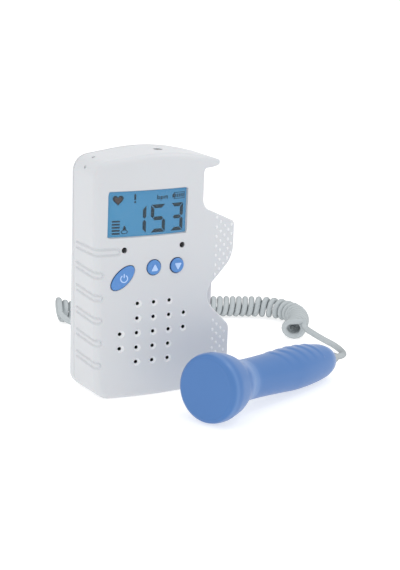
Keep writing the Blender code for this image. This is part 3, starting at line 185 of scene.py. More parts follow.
def blendColour(share, first, second):
    feeds = {0: share, 6: first, 7: second}
    return addNode(share.id_data, "ShaderNodeMix", feeds, data_type="RGBA", clamp_result=True).outputs[2]


def noiseOn(where, scale, detail, rough):
    feeds = {"Vector": where, "Scale": scale, "Detail": detail, "Roughness": rough}
    return addNode(where.id_data, "ShaderNodeTexNoise", feeds).outputs["Fac"]


# Grain and mottle of a moulded surface
def makeMouldedGrain():
    tree, entry, leave, _ = newTree(
        "mouldedGrain", "ShaderNodeTree",
        {
            "Colour": ("Color", (0.8, 0.8, 0.8, 1.0)),
            "Grain Scale": ("Float", 2600.0),
            "Mottle": ("Float", 0.05),
            "Gloss Low": ("Float", 0.35),
            "Gloss High": ("Float", 0.5),
        },
        {"Colour": "Color", "Roughness": "Float", "Height": "Float"},
    )
    where = objectPoint(tree)
    fine = noiseOn(where, entry["Grain Scale"], 2.0, 0.6)
    broad = noiseOn(where, 38.0, 4.0, 0.6)
    patches = noiseOn(where, 210.0, 3.0, 0.5)
    shade = calc("MULTIPLY_ADD", calc("SUBTRACT", broad, 0.5), entry["Mottle"], 1.0)
    tint = addNode(tree, "ShaderNodeVectorMath", {0: entry["Colour"], 3: shade}, operation="SCALE").outputs[0]
    mixed = calc("MULTIPLY_ADD", fine, 0.4, calc("MULTIPLY", patches, 0.6))
    spread = calc("SUBTRACT", entry["Gloss High"], entry["Gloss Low"])
    feed(leave, Colour=tint, Roughness=calc("MULTIPLY_ADD", mixed, spread, entry["Gloss Low"]), Height=fine)
    return tree


# Smudges where fingers touch a smooth surface
def makeTouchMarks():
    takes = {"Size": ("Float", 90.0), "Amount": ("Float", 0.4)}
    tree, entry, leave, _ = newTree("touchMarks", "ShaderNodeTree", takes, {"Mask": "Float"})
    where = objectPoint(tree)
    edge = ramp(noiseOn(where, entry["Size"], 2.0, 0.5), 0.5, 0.7)
    streak = noiseOn(where, calc("MULTIPLY", entry["Size"], 9.0), 4.0, 0.7)
    feed(leave, Mask=calc("MULTIPLY", calc("MULTIPLY", edge, streak), entry["Amount"], clamp=True))
    return tree


# Copper tracks under a board's lacquer
def makeTrackPattern():
    tree, entry, leave, _ = newTree(
        "trackPattern", "ShaderNodeTree",
        {
            "Lacquer": ("Color", (0.01, 0.1, 0.04, 1.0)),
            "Track": ("Color", (0.03, 0.22, 0.08, 1.0)),
            "Pitch": ("Float", 420.0),
        },
        {"Colour": "Color", "Height": "Float"},
    )
    cells = addNode(tree, "ShaderNodeTexVoronoi", {"Vector": objectPoint(tree), "Scale": entry["Pitch"]},
                    distance="MANHATTAN", feature="F1")
    line = ramp(cells.outputs["Distance"], 0.38, 0.46)
    feed(leave, Colour=blendColour(line, entry["Lacquer"], entry["Track"]), Height=line)
    return tree


grainGroup = makeMouldedGrain()
touchGroup = makeTouchMarks()
trackGroup = makeTrackPattern()
touchRoughness = 0.25


def newFinish(name, roughness=0.4, **values):
    material = bpy.data.materials.new(name)
    material.use_nodes = True
    shader = material.node_tree.nodes["Principled BSDF"]
    feed(shader, Roughness=roughness, **values)
    return material, material.node_tree, shader


def addBump(shader, height, distance):
    bump = addNode(shader.id_data, "ShaderNodeBump", {"Height": height, "Distance": distance * mm})
    feed(shader, Normal=bump.outputs["Normal"])


# A moulded finish: colour, grain and gloss from the shared group, with finger marks where it is handled
def mouldedFinish(name, colour, grain, mottle, gloss, depth, marks=0.0, **values):
    material, tree, shader = newFinish(name, **values)
    skin = addGroup(tree, grainGroup, {"Colour": colour, "Grain Scale": grain, "Mottle": mottle,
                                       "Gloss Low": gloss[0], "Gloss High": gloss[1]})
    roughness = skin["Roughness"]
    if marks:
        touch = addGroup(tree, touchGroup, {"Amount": marks})["Mask"]
        roughness = calc("MULTIPLY_ADD", touch, touchRoughness, roughness, clamp=True)
    feed(shader, Base_Color=skin["Colour"], Roughness=roughness)
    addBump(shader, skin["Height"], depth)
    return material


# A finish whose colour and gloss drift together between two values
def cloudyFinish(name, noise, colours, gloss, **values):
    material, tree, shader = newFinish(name, **values)
    cloud = noiseOn(objectPoint(tree), *noise)
    feed(shader, Base_Color=blendColour(cloud, *colours), Roughness=calc("MULTIPLY_ADD", cloud, *gloss))
    return material


def baseOf(material):
    shader = material.node_tree.nodes["Principled BSDF"]
    return material.node_tree, shader, shader.inputs["Base Color"].links[0].from_socket


# Painted shade: the base colour is darkened where the surface turns away from the view, as shade on soft
# plastic's edges
def paintEdgeShade(material, amount, deep):
    tree, shader, plain = baseOf(material)
    facing = addNode(tree, "ShaderNodeLayerWeight", {"Blend": 0.42}).outputs["Facing"]
    share = calc("MULTIPLY", calc("MULTIPLY", facing, facing), amount, clamp=True)
    feed(shader, Base_Color=blendColour(share, plain, deep))


def makeScreenGlow():
    material, tree, shader = newFinish("screenGlow", Emission_Strength=0.08, Specular_IOR_Level=0.05)
    where = objectPoint(tree)
    east = addNode(tree, "ShaderNodeSeparateXYZ", {"Vector": where}).outputs["X"]
    across = ramp(east, screenPane["left"] * mm, screenPane["right"] * mm)
    cloud = noiseOn(where, 60.0, 3.0, 0.5)
    share = calc("MULTIPLY_ADD", cloud, 0.25, calc("MULTIPLY", across, 0.6), clamp=True)
    colour = blendColour(share, (0.054, 0.240, 0.430), (0.058, 0.215, 0.405))
    weave = addNode(tree, "ShaderNodeTexChecker", {"Vector": where, "Scale": 4200.0}).outputs["Fac"]
    feed(shader, Base_Color=colour, Emission_Color=colour, Roughness=calc("MULTIPLY_ADD", weave, 0.08, 0.34))
    return material


def makePane():
    material, tree, shader = newFinish("windowPane", IOR=1.45, Specular_IOR_Level=0.6)
    touch = addGroup(tree, touchGroup, {"Size": 70.0})["Mask"]
    feed(shader, Base_Color=(0.82, 0.90, 0.96), Roughness=calc("MULTIPLY_ADD", touch, touchRoughness, 0.07),
         Alpha=calc("MULTIPLY_ADD", touch, 0.03, 0.025))
    return material


def makeSteel():
    material, tree, shader = newFinish("platedSteel", Metallic=1.0)
    where = objectPoint(tree)
    brushed = noiseOn(where, 1500.0, 4.0, 0.7)
    dull = noiseOn(where, 160.0, 3.0, 0.6)
    feed(shader, Base_Color=blendColour(dull, (0.46, 0.46, 0.48), (0.62, 0.62, 0.63)),
         Roughness=calc("MULTIPLY_ADD", brushed, 0.25, 0.2))
    addBump(shader, brushed, 0.006)
    return material


def makeBoardLacquer():
    material, tree, shader = newFinish("boardLacquer")
    tracks = addGroup(tree, trackGroup)
    feed(shader, Base_Color=tracks["Colour"], Roughness=addGroup(tree, grainGroup)["Roughness"])
    addBump(shader, tracks["Height"], 0.03)
    return material


matt = {"Specular_IOR_Level": 0.05}
# Colour, grain, mottle, gloss from and to, depth of the grain, and finger marks
finish = {
    # The dots' plastic is the case's, made lighter as a painted highlight on their raised tops
    "dot": mouldedFinish("dotPlastic", (0.76, 0.77, 0.79), 2600.0, 0.03, (0.34, 0.46), 0.01),
    "case": mouldedFinish("satinCase", (0.604, 0.620, 0.645), 2600.0, 0.03, (0.34, 0.46), 0.01, 0.35,
                          Subsurface_Weight=0.04, Subsurface_Scale=0.002),
    "key": mouldedFinish("keyPlastic", (0.085, 0.245, 0.575), 3200.0, 0.05, (0.22, 0.34), 0.006, 0.3,
                         Subsurface_Weight=0.12, Subsurface_Scale=0.0015),
    "keyIcon": mouldedFinish("keySymbol", (0.44, 0.60, 0.88), 3000.0, 0.05, (0.3, 0.4), 0.006),
    "probe": mouldedFinish("probePlastic", (0.074, 0.188, 0.445), 2200.0, 0.05, (0.24, 0.36), 0.008, 0.4,
                           Specular_IOR_Level=0.3),
    "cord": mouldedFinish("cordJacket", (0.50, 0.54, 0.555), 1800.0, 0.08, (0.5, 0.65), 0.02, 0.2,
                          Specular_IOR_Level=0.15),
    "black": mouldedFinish("blackPlastic", (0.010, 0.010, 0.011), 1600.0, 0.15, (0.4, 0.55), 0.02, **matt),
    "diffuser": mouldedFinish("lightSheet", (0.8, 0.84, 0.86), 900.0, 0.02, (0.5, 0.6), 0.01),
    "paper": mouldedFinish("conePaper", (0.03, 0.03, 0.03), 900.0, 0.4, (0.75, 0.9), 0.06),
    "ceramic": mouldedFinish("firedCeramic", (0.62, 0.58, 0.47), 1200.0, 0.12, (0.4, 0.6), 0.02),
    "resin": mouldedFinish("pottingResin", (0.03, 0.025, 0.02), 500.0, 0.3, (0.3, 0.6), 0.04),
    "jacket": mouldedFinish("cellJacket", (0.05, 0.055, 0.065), 1300.0, 0.1, (0.28, 0.4), 0.01, 0.3),
    "segment": mouldedFinish("screenSegment", (0.010, 0.030, 0.046), 1500.0, 0.1, (0.5, 0.6), 0.002, **matt),
    "heart": mouldedFinish("heartFill", (0.062, 0.046, 0.044), 1500.0, 0.1, (0.5, 0.6), 0.002, **matt),
    "glass": cloudyFinish("cellGlass", (120.0, 2.0, 0.5), ((0.02, 0.10, 0.19), (0.03, 0.14, 0.26)),
                          (0.1, 0.1), Coat_Weight=0.5),
    "lens": cloudyFinish("lampLens", (700.0, 3.0, 0.5), ((0.004, 0.004, 0.005), (0.012, 0.013, 0.015)),
                         (0.15, 0.1), Specular_IOR_Level=0.25),
    "screen": makeScreenGlow(),
    "pane": makePane(),
    "steel": makeSteel(),
    "board": makeBoardLacquer(),
}


# How deep a point lies behind the bowed face, its height, and its squared distance from the bow's middle
def faceDepth(tree):
    axes = addNode(tree, "ShaderNodeSeparateXYZ", {"Vector": objectPoint(tree)}).outputs
    aside = calc("SUBTRACT", axes["X"], case["bowX"] * mm)
    square = calc("MULTIPLY", aside, aside)
    face = calc("MULTIPLY_ADD", square, 1 / (2 * case["bowRadius"] * mm), case["front"] * mm)
    return calc("SUBTRACT", axes["Y"], face), axes["Z"], square


# Painted shade: a key's colour darkens down its side, where it goes into the face and the gap shades it
def paintKeySideShade():
    tree, shader, plain = baseOf(finish["key"])
    low = ramp(faceDepth(tree)[0], -0.4 * mm, -0.1 * mm, 0.0, 0.85)
    feed(shader, Base_Color=blendColour(low, plain, (0.012, 0.06, 0.21)))


# Painted shade and painted highlight: the case's colour goes black deep inside the speaker's bores, where
# shade falls, and paler in the dishes round them, where light catches their walls
def paintBoreShadeAndDishHighlight():
    tree, shader, plain = baseOf(finish["case"])
    depth, level, square = faceDepth(tree)
    rise = calc("SUBTRACT", level, grille["middle"][1] * mm)
    apart = calc("SQRT", calc("MULTIPLY_ADD", rise, rise, square))
    near = calc("MULTIPLY", calc("LESS_THAN", apart, grille["reach"] * mm),
                calc("LESS_THAN", depth, grille["boreEnd"] * mm))
    dishHighlight = calc("MULTIPLY", near, ramp(depth, 0.04 * mm, 0.3 * mm, 0.0, 0.55))
    boreShade = calc("MULTIPLY", near, ramp(depth, 0.88 * mm, 1.1 * mm))
    colour = blendColour(dishHighlight, plain, (0.86, 0.87, 0.89))
    feed(shader, Base_Color=blendColour(boreShade, colour, (0.012, 0.012, 0.013)))


# Painted shade on the cord's and keys' edges, painted shade in the speaker's bores and a painted highlight in
# their dishes
paintEdgeShade(finish["cord"], 0.62, (0.015, 0.022, 0.03))
paintKeySideShade()
paintBoreShadeAndDishHighlight()
print("finishes made:", len(finish))


# Points and routes
def throughPoints(points, steps=24):
    knots = [Vector(p) for p in points]
    ends = [2 * knots[0] - knots[1], *knots, 2 * knots[-1] - knots[-2]]
    line = []
    for a, b, c, d in zip(ends, ends[1:], ends[2:], ends[3:]):
        for k in range(steps):
            t = k / steps
            line.append(0.5 * (2 * b + (c - a) * t + (2 * a - 5 * b + 4 * c - d) * t**2
                               + (3 * b - a - 3 * c + d) * t**3))
    line.append(knots[-1])
    return line


def runLength(points):
    return sum((q - p).length for p, q in zip(points, points[1:]))


def evenly(points, count):
    run = [0.0]
    for p, q in zip(points, points[1:]):
        run.append(run[-1] + (q - p).length)
    spaced = []
    at = 0
    for k in range(count + 1):
        goal = run[-1] * k / count
        while at < len(run) - 2 and run[at + 1] < goal:
            at += 1
        share = (goal - run[at]) / max(run[at + 1] - run[at], 1e-6)
        spaced.append(points[at].lerp(points[at + 1], min(share, 1.0)))
    return spaced


# Meshes
def objectOf(name, bm):
    bmesh.ops.recalc_face_normals(bm, faces=bm.faces)
    mesh = bpy.data.meshes.new(name)
    bm.to_mesh(mesh)
    bm.free()
    made = bpy.data.objects.new(name, mesh)
    scene.collection.objects.link(made)
    return made


def bake(made):
    graph = bpy.context.evaluated_depsgraph_get()
    result = bpy.data.meshes.new_from_object(made.evaluated_get(graph))
    made.modifiers.clear()
    old = made.data
    made.data = result
    result.name = made.name
    bpy.data.meshes.remove(old)
    return made


def drop(made):
    old = made.data
    bpy.data.objects.remove(made, do_unlink=True)
    if old.users == 0:
        bpy.data.meshes.remove(old)


def gather(name, pieces):
    bm = bmesh.new()
    for piece in pieces:
        bm.from_mesh(piece.data)
        drop(piece)
    return objectOf(name, bm)


def carve(made, cutter, operation="DIFFERENCE"):
    step = made.modifiers.new("carve", "BOOLEAN")
    step.operation = operation
    step.solver = "EXACT"
    step.object = cutter
    bake(made)
    bm = bmesh.new()
    bm.from_mesh(made.data)
    bmesh.ops.remove_doubles(bm, verts=bm.verts, dist=0.001)
    bmesh.ops.dissolve_degenerate(bm, edges=bm.edges, dist=0.001)
    bm.to_mesh(made.data)
    bm.free()
    drop(cutter)
    return made


# The last step of every piece: shading, material, metres, and its place in the frame
def settle(made, material, body, stands=(), sharp=32, weigh=True):
    mesh = made.data
    if material:
        mesh.materials.clear()
        mesh.materials.append(finish[material])
    mesh.transform(Matrix.Scale(mm, 4))
    mesh.shade_smooth()
    mesh.set_sharp_from_angle(angle=math.radians(sharp))
    if weigh:
        even = made.modifiers.new("evenShading", "WEIGHTED_NORMAL")
        even.keep_sharp = True
        bake(made)
    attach(made, body)
    if stands:
        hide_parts(*stands)
    return made


def turnSteps(radius, turn, error=0.012):
    return max(3, math.ceil(abs(turn) / (2 * math.acos(1 - error / max(radius, 4 * error)))))


def roundedOutline(corners):
    points = []
    count = len(corners)
    for i, (x, z, radius, rim) in enumerate(corners):
        here = Vector((x, z))
        back = (Vector(corners[i - 1][:2]) - here).normalized()
        ahead = (Vector(corners[(i + 1) % count][:2]) - here).normalized()
        half = back.angle(ahead) / 2
        centre = here + (back + ahead).normalized() * (radius / math.sin(half))
        side = 1 if (-back).x * ahead.y - (-back).y * ahead.x > 0 else -1
        start = here + back * (radius / math.tan(half)) - centre
        turn = math.pi - 2 * half
        steps = turnSteps(radius, turn)
        for k in range(steps + 1):
            arm = start.copy()
            arm.rotate(Matrix.Rotation(side * turn * k / steps, 2))
            points.append((centre + arm, arm.normalized() * side, rim))
    return points


def rectangle(left, right, low, high):
    return [(left, low), (right, low), (right, high), (left, high)]


def cutAcross(bm, place, normal):
    bmesh.ops.bisect_plane(bm, geom=bm.verts[:] + bm.edges[:] + bm.faces[:], plane_co=place, plane_no=normal)


def splitCaps(bm):
    bmesh.ops.triangulate(bm, faces=[f for f in bm.faces if len(f.verts) > 4])


def cutStrips(bm, count):
    xs = [v.co.x for v in bm.verts]
    for k in range(1, count):
        cutAcross(bm, (min(xs) + (max(xs) - min(xs)) * k / count, 0, 0), (1, 0, 0))


# Faces from ring to ring, with two end caps unless the last ring joins the first
def loft(rings, closed=False):
    bm = bmesh.new()
    made = [[bm.verts.new(point) for point in ring] for ring in rings]
    count = len(rings[0])
    for low, high in zip(made, made[1:] + (made[:1] if closed else [])):
        for i in range(count):
            j = (i + 1) % count
            bm.faces.new((low[i], low[j], high[j], high[i]))
    if not closed:
        bm.faces.new(list(reversed(made[0])))
        bm.faces.new(made[-1])
    return bm


def turnedBody(name, profile, steps=48, place=None):
    bm = bmesh.new()
    turns = [2 * math.pi * k / steps for k in range(steps)]
    rings = []
    for radius, height in profile:
        if radius == 0:
            rings.append([bm.verts.new((0, 0, height))])
            continue
        rings.append([bm.verts.new((radius * math.cos(t), radius * math.sin(t), height)) for t in turns])
    pairs = list(zip(rings, rings[1:]))
    if profile[0][0] != 0:
        pairs.append((rings[-1], rings[0]))
    for low, high in pairs:
        for k in range(steps):
            j = (k + 1) % steps
            if len(low) == 1:
                bm.faces.new((low[0], high[j], high[k]))
            elif len(high) == 1:
                bm.faces.new((low[k], low[j], high[0]))
            else:
                bm.faces.new((low[k], low[j], high[j], high[k]))
    if place:
        bm.transform(place)
    return objectOf(name, bm)


def rodBody(name, radius, low, high, steps, place):
    return turnedBody(name, [(0, low), (radius, low), (radius, high), (0, high)], steps, place)


def alongY(x, y, z):
    return Matrix.Translation((x, y, z)) @ Matrix.Rotation(-math.pi / 2, 4, "X")


def blockBody(name, low, high, edge=0.0, steps=3):
    bm = bmesh.new()
    bmesh.ops.create_cube(bm, size=1)
    for v in bm.verts:
        v.co = Vector([low[k] if v.co[k] < 0 else high[k] for k in range(3)])
    if edge:
        bmesh.ops.bevel(bm, geom=bm.edges[:], offset=edge, segments=steps, profile=0.5, affect="EDGES")
    return objectOf(name, bm)


# Curly cord from the gland in the back of the unit to the tail of the probe
cord = {
    "radius": 1.95,
    "shrink": 0.995,
    "sides": 16,
    "coilRadius": 5.14,
    "coilGap": 0.36,
    "perTurn": 16,
    "startRadius": 6.56,
    "endWidth": 6.2,
    "openTurns": 2,
    "startTurn": math.radians(135),
    "endTurn": math.radians(92),
    "leadIn": 3.9,
    "pull": 3.0,
    "pointPitch": 3.2,
    "seat": 4.0,
    "exit": (16.0, 36.72, 13.0),
    "coilRoute": (
        (9.6, 143.0), (48.0, 133.6), (84.0, 124.4), (113.5, 115.4), (131.5, 108.0), (145.0, 101.2),
        (153.2, 91.6), (155.4, 79.6), (151.6, 67.5), (143.0, 55.6), (133.2, 46.0),
    ),
    "leadRoute": (
        (17.0, 52.0, 10.0), (19.5, 61.0, 5.8), (23.5, 73.0, 2.6), (29.0, 88.0, 2.0), (32.4, 104.0, 2.0),
        (31.6, 115.0, 2.2), (28.2, 121.2, 2.4), (22.2, 125.0, 2.7), (15.5, 126.4, 3.1), (10.2, 128.2, 4.6),
    ),
    "tailRoute": (
        (137.2, 38.4, 9.8), (137.0, 30.0, 8.6), (136.6, 18.0, 7.8), (137.0, 6.0, 7.0), (134.4, -5.6, 7.0),
        (129.4, -15.6, 7.9),
    ),
}

probe = {
    "length": 126.0,
    "headRadius": 19.86,
    # Share of the length and share of the head's radius
    "profile": (
        (0.0, 0.86), (0.012, 0.955), (0.028, 0.99), (0.045, 1.0), (0.072, 0.993), (0.125, 0.92),
        (0.150, 0.87), (0.175, 0.80), (0.200, 0.73), (0.225, 0.673), (0.250, 0.632), (0.275, 0.608),
        (0.300, 0.599), (0.400, 0.603), (0.550, 0.632), (0.650, 0.656), (0.740, 0.643),
        (0.820, 0.606), (0.900, 0.545), (0.935, 0.495), (0.965, 0.425), (0.985, 0.350), (1.0, 0.26),
    ),
    "split": 0.25,
    "wall": 2.2,
    "heading": math.radians(22.5),
    "facePlace": (-6.1, -74.8),
    "bootLength": 8.0,
    "bootRoot": 4.0,
    "bootTip": 3.0,
    "steps": 120,
    "shrink": 0.99,
    "ridgeCount": 5,
    "ridgeFirst": 60.0,
    "ridgePitch": 9.0,
    "ridgeHeight": 0.42,
    "ridgeLean": 7.0,
    "ridgeTurn": math.radians(62),
    # Painted highlight bands: middle and reach along the probe, and how pale
    "paintedHighlightBands": ((3.6, 2.2, 0.16), (30.0, 10.0, 0.28)),
}


# The probe lies on its head's rim and its handle's bulge
def probePlace():
    points = [(s * probe["length"], r * probe["headRadius"]) for s, r in probe["profile"]]
    middle = probe["length"] / 2
    best = None
    for low in points:
        for high in points:
            if low[0] < middle < high[0]:
                fall = (low[1] - high[1]) / (high[0] - low[0])
                atMiddle = low[1] - fall * (middle - low[0])
                if best is None or atMiddle > best[0]:
                    best = (atMiddle, math.atan(fall), low)
    _, tilt, (s, r) = best
    height = s * math.sin(tilt) + r * math.cos(tilt)
    turn = Matrix.Rotation(probe["heading"], 4, "Z") @ Matrix.Rotation(math.pi / 2 + tilt, 4, "Y")
    return Matrix.Translation((*probe["facePlace"], height)) @ turn


def eased(share):
    share = min(max(share, 0.0), 1.0)
    return share * share * (3 - 2 * share)


# The coil's middle line: its turns lie wider apart where it bends, and its ends run straight
def coilLine():
    ground = throughPoints([(x, y, 0.0) for x, y in cord["coilRoute"]])
    legs = [q - p for p, q in zip(ground, ground[1:])]
    room = [0.0]
    for leg, following in zip(legs, legs[1:] + legs[-1:]):
        room.append(room[-1] + leg.length - cord["coilRadius"] * leg.angle(following))
    turns = int(room[-1] / (2 * cord["radius"] + cord["coilGap"]))
    allTurns = 2 * math.pi * turns + cord["startTurn"] - cord["endTurn"]
    count = math.ceil(allTurns / (2 * math.pi) * cord["perTurn"])
    openTurns = 2 * math.pi * cord["openTurns"]
    line = []
    at = 0
    for k in range(count + 1):
        goal = room[-1] * k / count
        while at < len(legs) - 1 and room[at + 1] < goal:
            at += 1
        share = (goal - room[at]) / (room[at + 1] - room[at])
        here = ground[at].lerp(ground[at + 1], share)
        along = legs[max(at - 1, 0)].lerp(legs[min(at + 1, len(legs) - 1)], share).normalized()
        side = Vector((-along.y, along.x, 0.0))
        gone = allTurns * k / count
        turn = cord["startTurn"] - gone
        reach = cord["coilRadius"] + (cord["startRadius"] - cord["coilRadius"]) * eased(1 - gone / openTurns)
        width = reach + (cord["endWidth"] - cord["coilRadius"]) * eased(1 - (allTurns - gone) / openTurns)
        rise = Vector((0, 0, cord["radius"] + reach + reach * math.sin(turn)))
        line.append(here + side * width * math.cos(turn) + rise)
    first = (line[0] - line[1]).normalized() * cord["leadIn"]
    last = (line[-1] - line[-2]).normalized() * cord["leadIn"]
    return [line[0] + first, *line, line[-1] + last]


def freeLine(first, firstWay, points, last, lastWay):
    straight = 2 * cord["radius"]
    line = throughPoints([first + firstWay * straight, *points, last - lastWay * straight])
    return [first, *evenly(line, round(runLength(line) / cord["pointPitch"])), last]


def cordLine():
    coil = coilLine()
    seat = Vector((0, cord["seat"], 0))
    start = Vector(cord["exit"]) - seat
    intoCoil = (coil[1] - coil[0]).normalized()
    lead = freeLine(start, Vector((0, cord["pull"], 0)), cord["leadRoute"], coil[0], intoCoil)
    place = probePlace()
    bootEnd = probe["length"] + probe["bootLength"]
    seated = place @ Vector((0, 0, bootEnd - cord["seat"]))
    inward = (place.to_3x3() @ Vector((0, 0, -1))).normalized()
    outOfCoil = (coil[-1] - coil[-2]).normalized()
    tail = freeLine(coil[-1], outOfCoil, cord["tailRoute"], seated, inward * cord["pull"])
    return lead[:-1] + coil + tail[1:], tail


def endTree(geometry, entry, leave):
    tree = leave.id_data
    whole = addNode(tree, "GeometryNodeRealizeInstances", {"Geometry": geometry})
    dressed = addNode(tree, "GeometryNodeSetMaterial",
                      {"Geometry": whole.outputs["Geometry"], "Material": entry["Finish"]})
    feed(leave, Geometry=dressed.outputs["Geometry"])


# A round tube along a curve
def makeSweepTree():
    tree, entry, leave, known = newTree(
        "cordSweep", "GeometryNodeTree",
        {
            "Geometry": ("Geometry", None),
            "Radius": ("Float", 1.0),
            "Sides": ("Int", 12),
            "Finish": ("Material", None),
        },
        {"Geometry": "Geometry"},
    )
    ring = addNode(tree, "GeometryNodeCurvePrimitiveCircle",
                   {"Resolution": entry["Sides"], "Radius": entry["Radius"]})
    sweep = addNode(tree, "GeometryNodeCurveToMesh",
                    {"Curve": entry["Geometry"], "Profile Curve": ring.outputs["Curve"], "Fill Caps": True})
    endTree(sweep.outputs["Mesh"], entry, leave)
    return tree, known


sweepTree, sweepKnown = makeSweepTree()


def sweptTube(name, points, radius, sides, material):
    curve = bpy.data.curves.new(name, "CURVE")
    curve.dimensions = "3D"
    spline = curve.splines.new("POLY")
    spline.points.add(len(points) - 1)
    for point, place in zip(spline.points, points):
        point.co = (*place, 1)
    guide = bpy.data.objects.new(name + "Guide", curve)
    scene.collection.objects.link(guide)
    step = guide.modifiers.new("sweep", "NODES")
    step.node_group = sweepTree
    step[sweepKnown["Radius"]] = radius
    step[sweepKnown["Sides"]] = sides
    step[sweepKnown["Finish"]] = finish[material]
    graph = bpy.context.evaluated_depsgraph_get()
    mesh = bpy.data.meshes.new_from_object(guide.evaluated_get(graph))
    mesh.name = name
    bpy.data.objects.remove(guide, do_unlink=True)
    bpy.data.curves.remove(curve)
    bm = bmesh.new()
    bm.from_mesh(mesh)
    bpy.data.meshes.remove(mesh)
    bmesh.ops.remove_doubles(bm, verts=bm.verts, dist=0.001)
    return objectOf(name, bm)


def makeCord():
    line, tail = cordLine()
    made = sweptTube("curlyCord", line, cord["radius"] * cord["shrink"], cord["sides"], "cord")
    made.data.transform(Matrix.Scale(mm, 4))
    made.data.shade_smooth()
    made.data.set_sharp_from_angle(angle=math.radians(60))
    made.data.materials.clear()
    made.data.materials.append(finish["cord"])
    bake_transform(made)
    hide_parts("cord_lead", "cord_coil", "cord_tail")
    return made, line


curlyCord, cordPath = makeCord()
print("cord made:", round(runLength(cordPath)), "mm long")


def bow(x):
    return (x - case["bowX"]) ** 2 / (2 * case["bowRadius"])


def faceY(x):
    return case["front"] + bow(x)


def backY(z):
    share = (z - case["slopeLow"]) / (case["slopeHigh"] - case["slopeLow"])
    return case["rearFoot"] + (case["rear"] - case["rearFoot"]) * min(max(share, 0.0), 1.0)


def leftX(z):
    return case["leftFoot"] + (case["leftTop"][0] - case["leftFoot"]) * z / case["leftTop"][1]


# Corners of the outlines, anticlockwise from the lower left: x, z, the corner's radius and the rim's radius
caseCorners = (
    (-42.3, 0.0, 9.0, 3.8), (48.6, 0.0, 9.0, 1.1), (48.6, 34.0, 5.5, 1.1), (24.7, 55.7, 9.6, 1.1),
    (49.8, 75.6, 15.0, 1.1), (49.8, 96.8, 3.2, 1.1), (24.1, 108.2, 7.5, 1.1), (24.1, 130.8, 2.2, 1.1),
    (30.0, 130.8, 14.0, 1.1), (42.2, 133.2, 1.9, 0.9), (3.0, 143.4, 120.0, 3.8), (-45.7, 137.0, 10.0, 3.8),
)
shoulderSlope = (case["shoulderZ"] - case["flange"][1]) / (case["flange"][0] - case["notchX"])
lipTopZ = case["shoulderZ"] - (case["cradleLipX"] - case["notchX"]) * shoulderSlope
innerX = case["cradleWallX"] - case["wall"]
innerNotchX = case["notchX"] - case["wall"]
innerShoulderZ = case["shoulderZ"] - (innerX - case["notchX"]) * shoulderSlope - case["wall"]
cavityCorners = (
    (-40.1, 2.2, 6.8, 1.6), (innerX, 2.2, 2.2, 1.6), (innerX, innerShoulderZ, 1.1, 1.6),
    (innerNotchX, innerShoulderZ + (innerX - innerNotchX) * shoulderSlope, 1.1, 1.6),
    (innerNotchX, 133.0, 2.2, 1.6), (3.0, 139.0, 60.0, 1.6), (-43.5, 134.8, 7.8, 1.6),
)
backCorners = (
    (-42.3, 0.0, 9.0, 4.5), (34.5, 0.0, 2.2, 2.2), (34.5, lipTopZ, 2.2, 2.2), (24.1, 108.2, 3.75, 2.2),
    (24.1, 130.8, 2.2, 2.2), (30.0, 130.8, 14.0, 2.2), (42.2, 133.2, 1.9, 0.9), (3.0, 143.4, 120.0, 4.5),
    (-45.7, 137.0, 10.0, 4.5),
)
cradleX = case["cradleWallX"] + case["cradleRadius"]
cradleY = faceY(cradleX) + case["flangeWall"] + case["cradleRadius"]


def fittedRims(points, share=0.62):
    dense = []
    for (here, _, _), (there, _, _) in zip(points, points[1:] + points[:1]):
        steps = max(1, math.ceil((there - here).length / 6.0))
        dense += [here.lerp(there, k / steps) for k in range(steps)]
    fitted = []
    for here, normal, rim in points:
        room = rim / share
        for other in dense:
            reach = (here - other).dot(normal)
            if reach > rim / 50:
                room = min(room, (here - other).length_squared / (2 * reach))
        fitted.append(min(rim, share * room))
    return fitted


# How far a cutter reaches past the skin that it cuts
overrun = 3.0


# Rings round a rounded rim, from its inner edge out to the outline
def rimRings(points, steps, levelOf):
    rims = fittedRims(points)
    rings = []
    for k in range(steps + 1):
        turn = math.pi / 2 * k / steps
        ring = []
        for (place, normal, _), rim in zip(points, rims):
            inner = place - normal * rim * (1 - math.sin(turn))
            ring.append((inner.x, levelOf(inner.y, rim * (1 - math.cos(turn))), inner.y))
        rings.append(ring)
    return rings


def bowedCase(name, corners, front, back, strips, rimSteps, seamEdge=0.0):
    points = roundedOutline(corners)
    rings = rimRings(points, rimSteps, lambda _, drop: front + drop)
    rings.append([(place.x, back - seamEdge, place.y) for place, _, _ in points])
    if seamEdge:
        inner = [place - normal * seamEdge for place, normal, _ in points]
        rings.append([(place.x, back, place.y) for place in inner])
    bm = loft(rings)
    cutStrips(bm, strips)
    for v in bm.verts:
        if v.co.y < (front + back) / 2:
            v.co.y += bow(v.co.x)
    splitCaps(bm)
    return objectOf(name, bm)


# A block with the window's outline, made wider by grow, that follows the face's bow.
# Its levels run from front to back, and each says how much wider it is and how deep.
def paneBlock(name, grow, radius, levels):
    left, right, low, high = (screenPane[side] for side in ("left", "right", "low", "high"))
    rings = []
    for wider, depth in levels:
        box = rectangle(left - grow - wider, right + grow + wider, low - grow - wider, high + grow + wider)
        outline = roundedOutline([(x, z, max(radius + wider, 0.1), 0.0) for x, z in box])
        rings.append([(p.x, case["front"] + depth, p.y) for p, _, _ in outline])
    if len({len(ring) for ring in rings}) > 1:
        rings = [[tuple(p) for p in evenRing(ring, 64)] for ring in rings]
    bm = loft(rings)
    cutStrips(bm, 24)
    for v in bm.verts:
        v.co.y += bow(v.co.x)
    splitCaps(bm)
    return objectOf(name, bm)


def evenRing(ring, count):
    closed = [Vector(p) for p in ring] + [Vector(ring[0])]
    return evenly(closed, count)[:-1]


def boreBody(name, x, z, radius, flare, steps=48):
    depth = case["holeEnd"]
    profile = [(0, -overrun), (radius + flare + overrun, -overrun), (radius + flare, 0.0), (radius, flare)]
    profile += [(radius, depth), (0, depth)]
    return turnedBody(name, profile, steps, alongY(x, faceY(x), z))


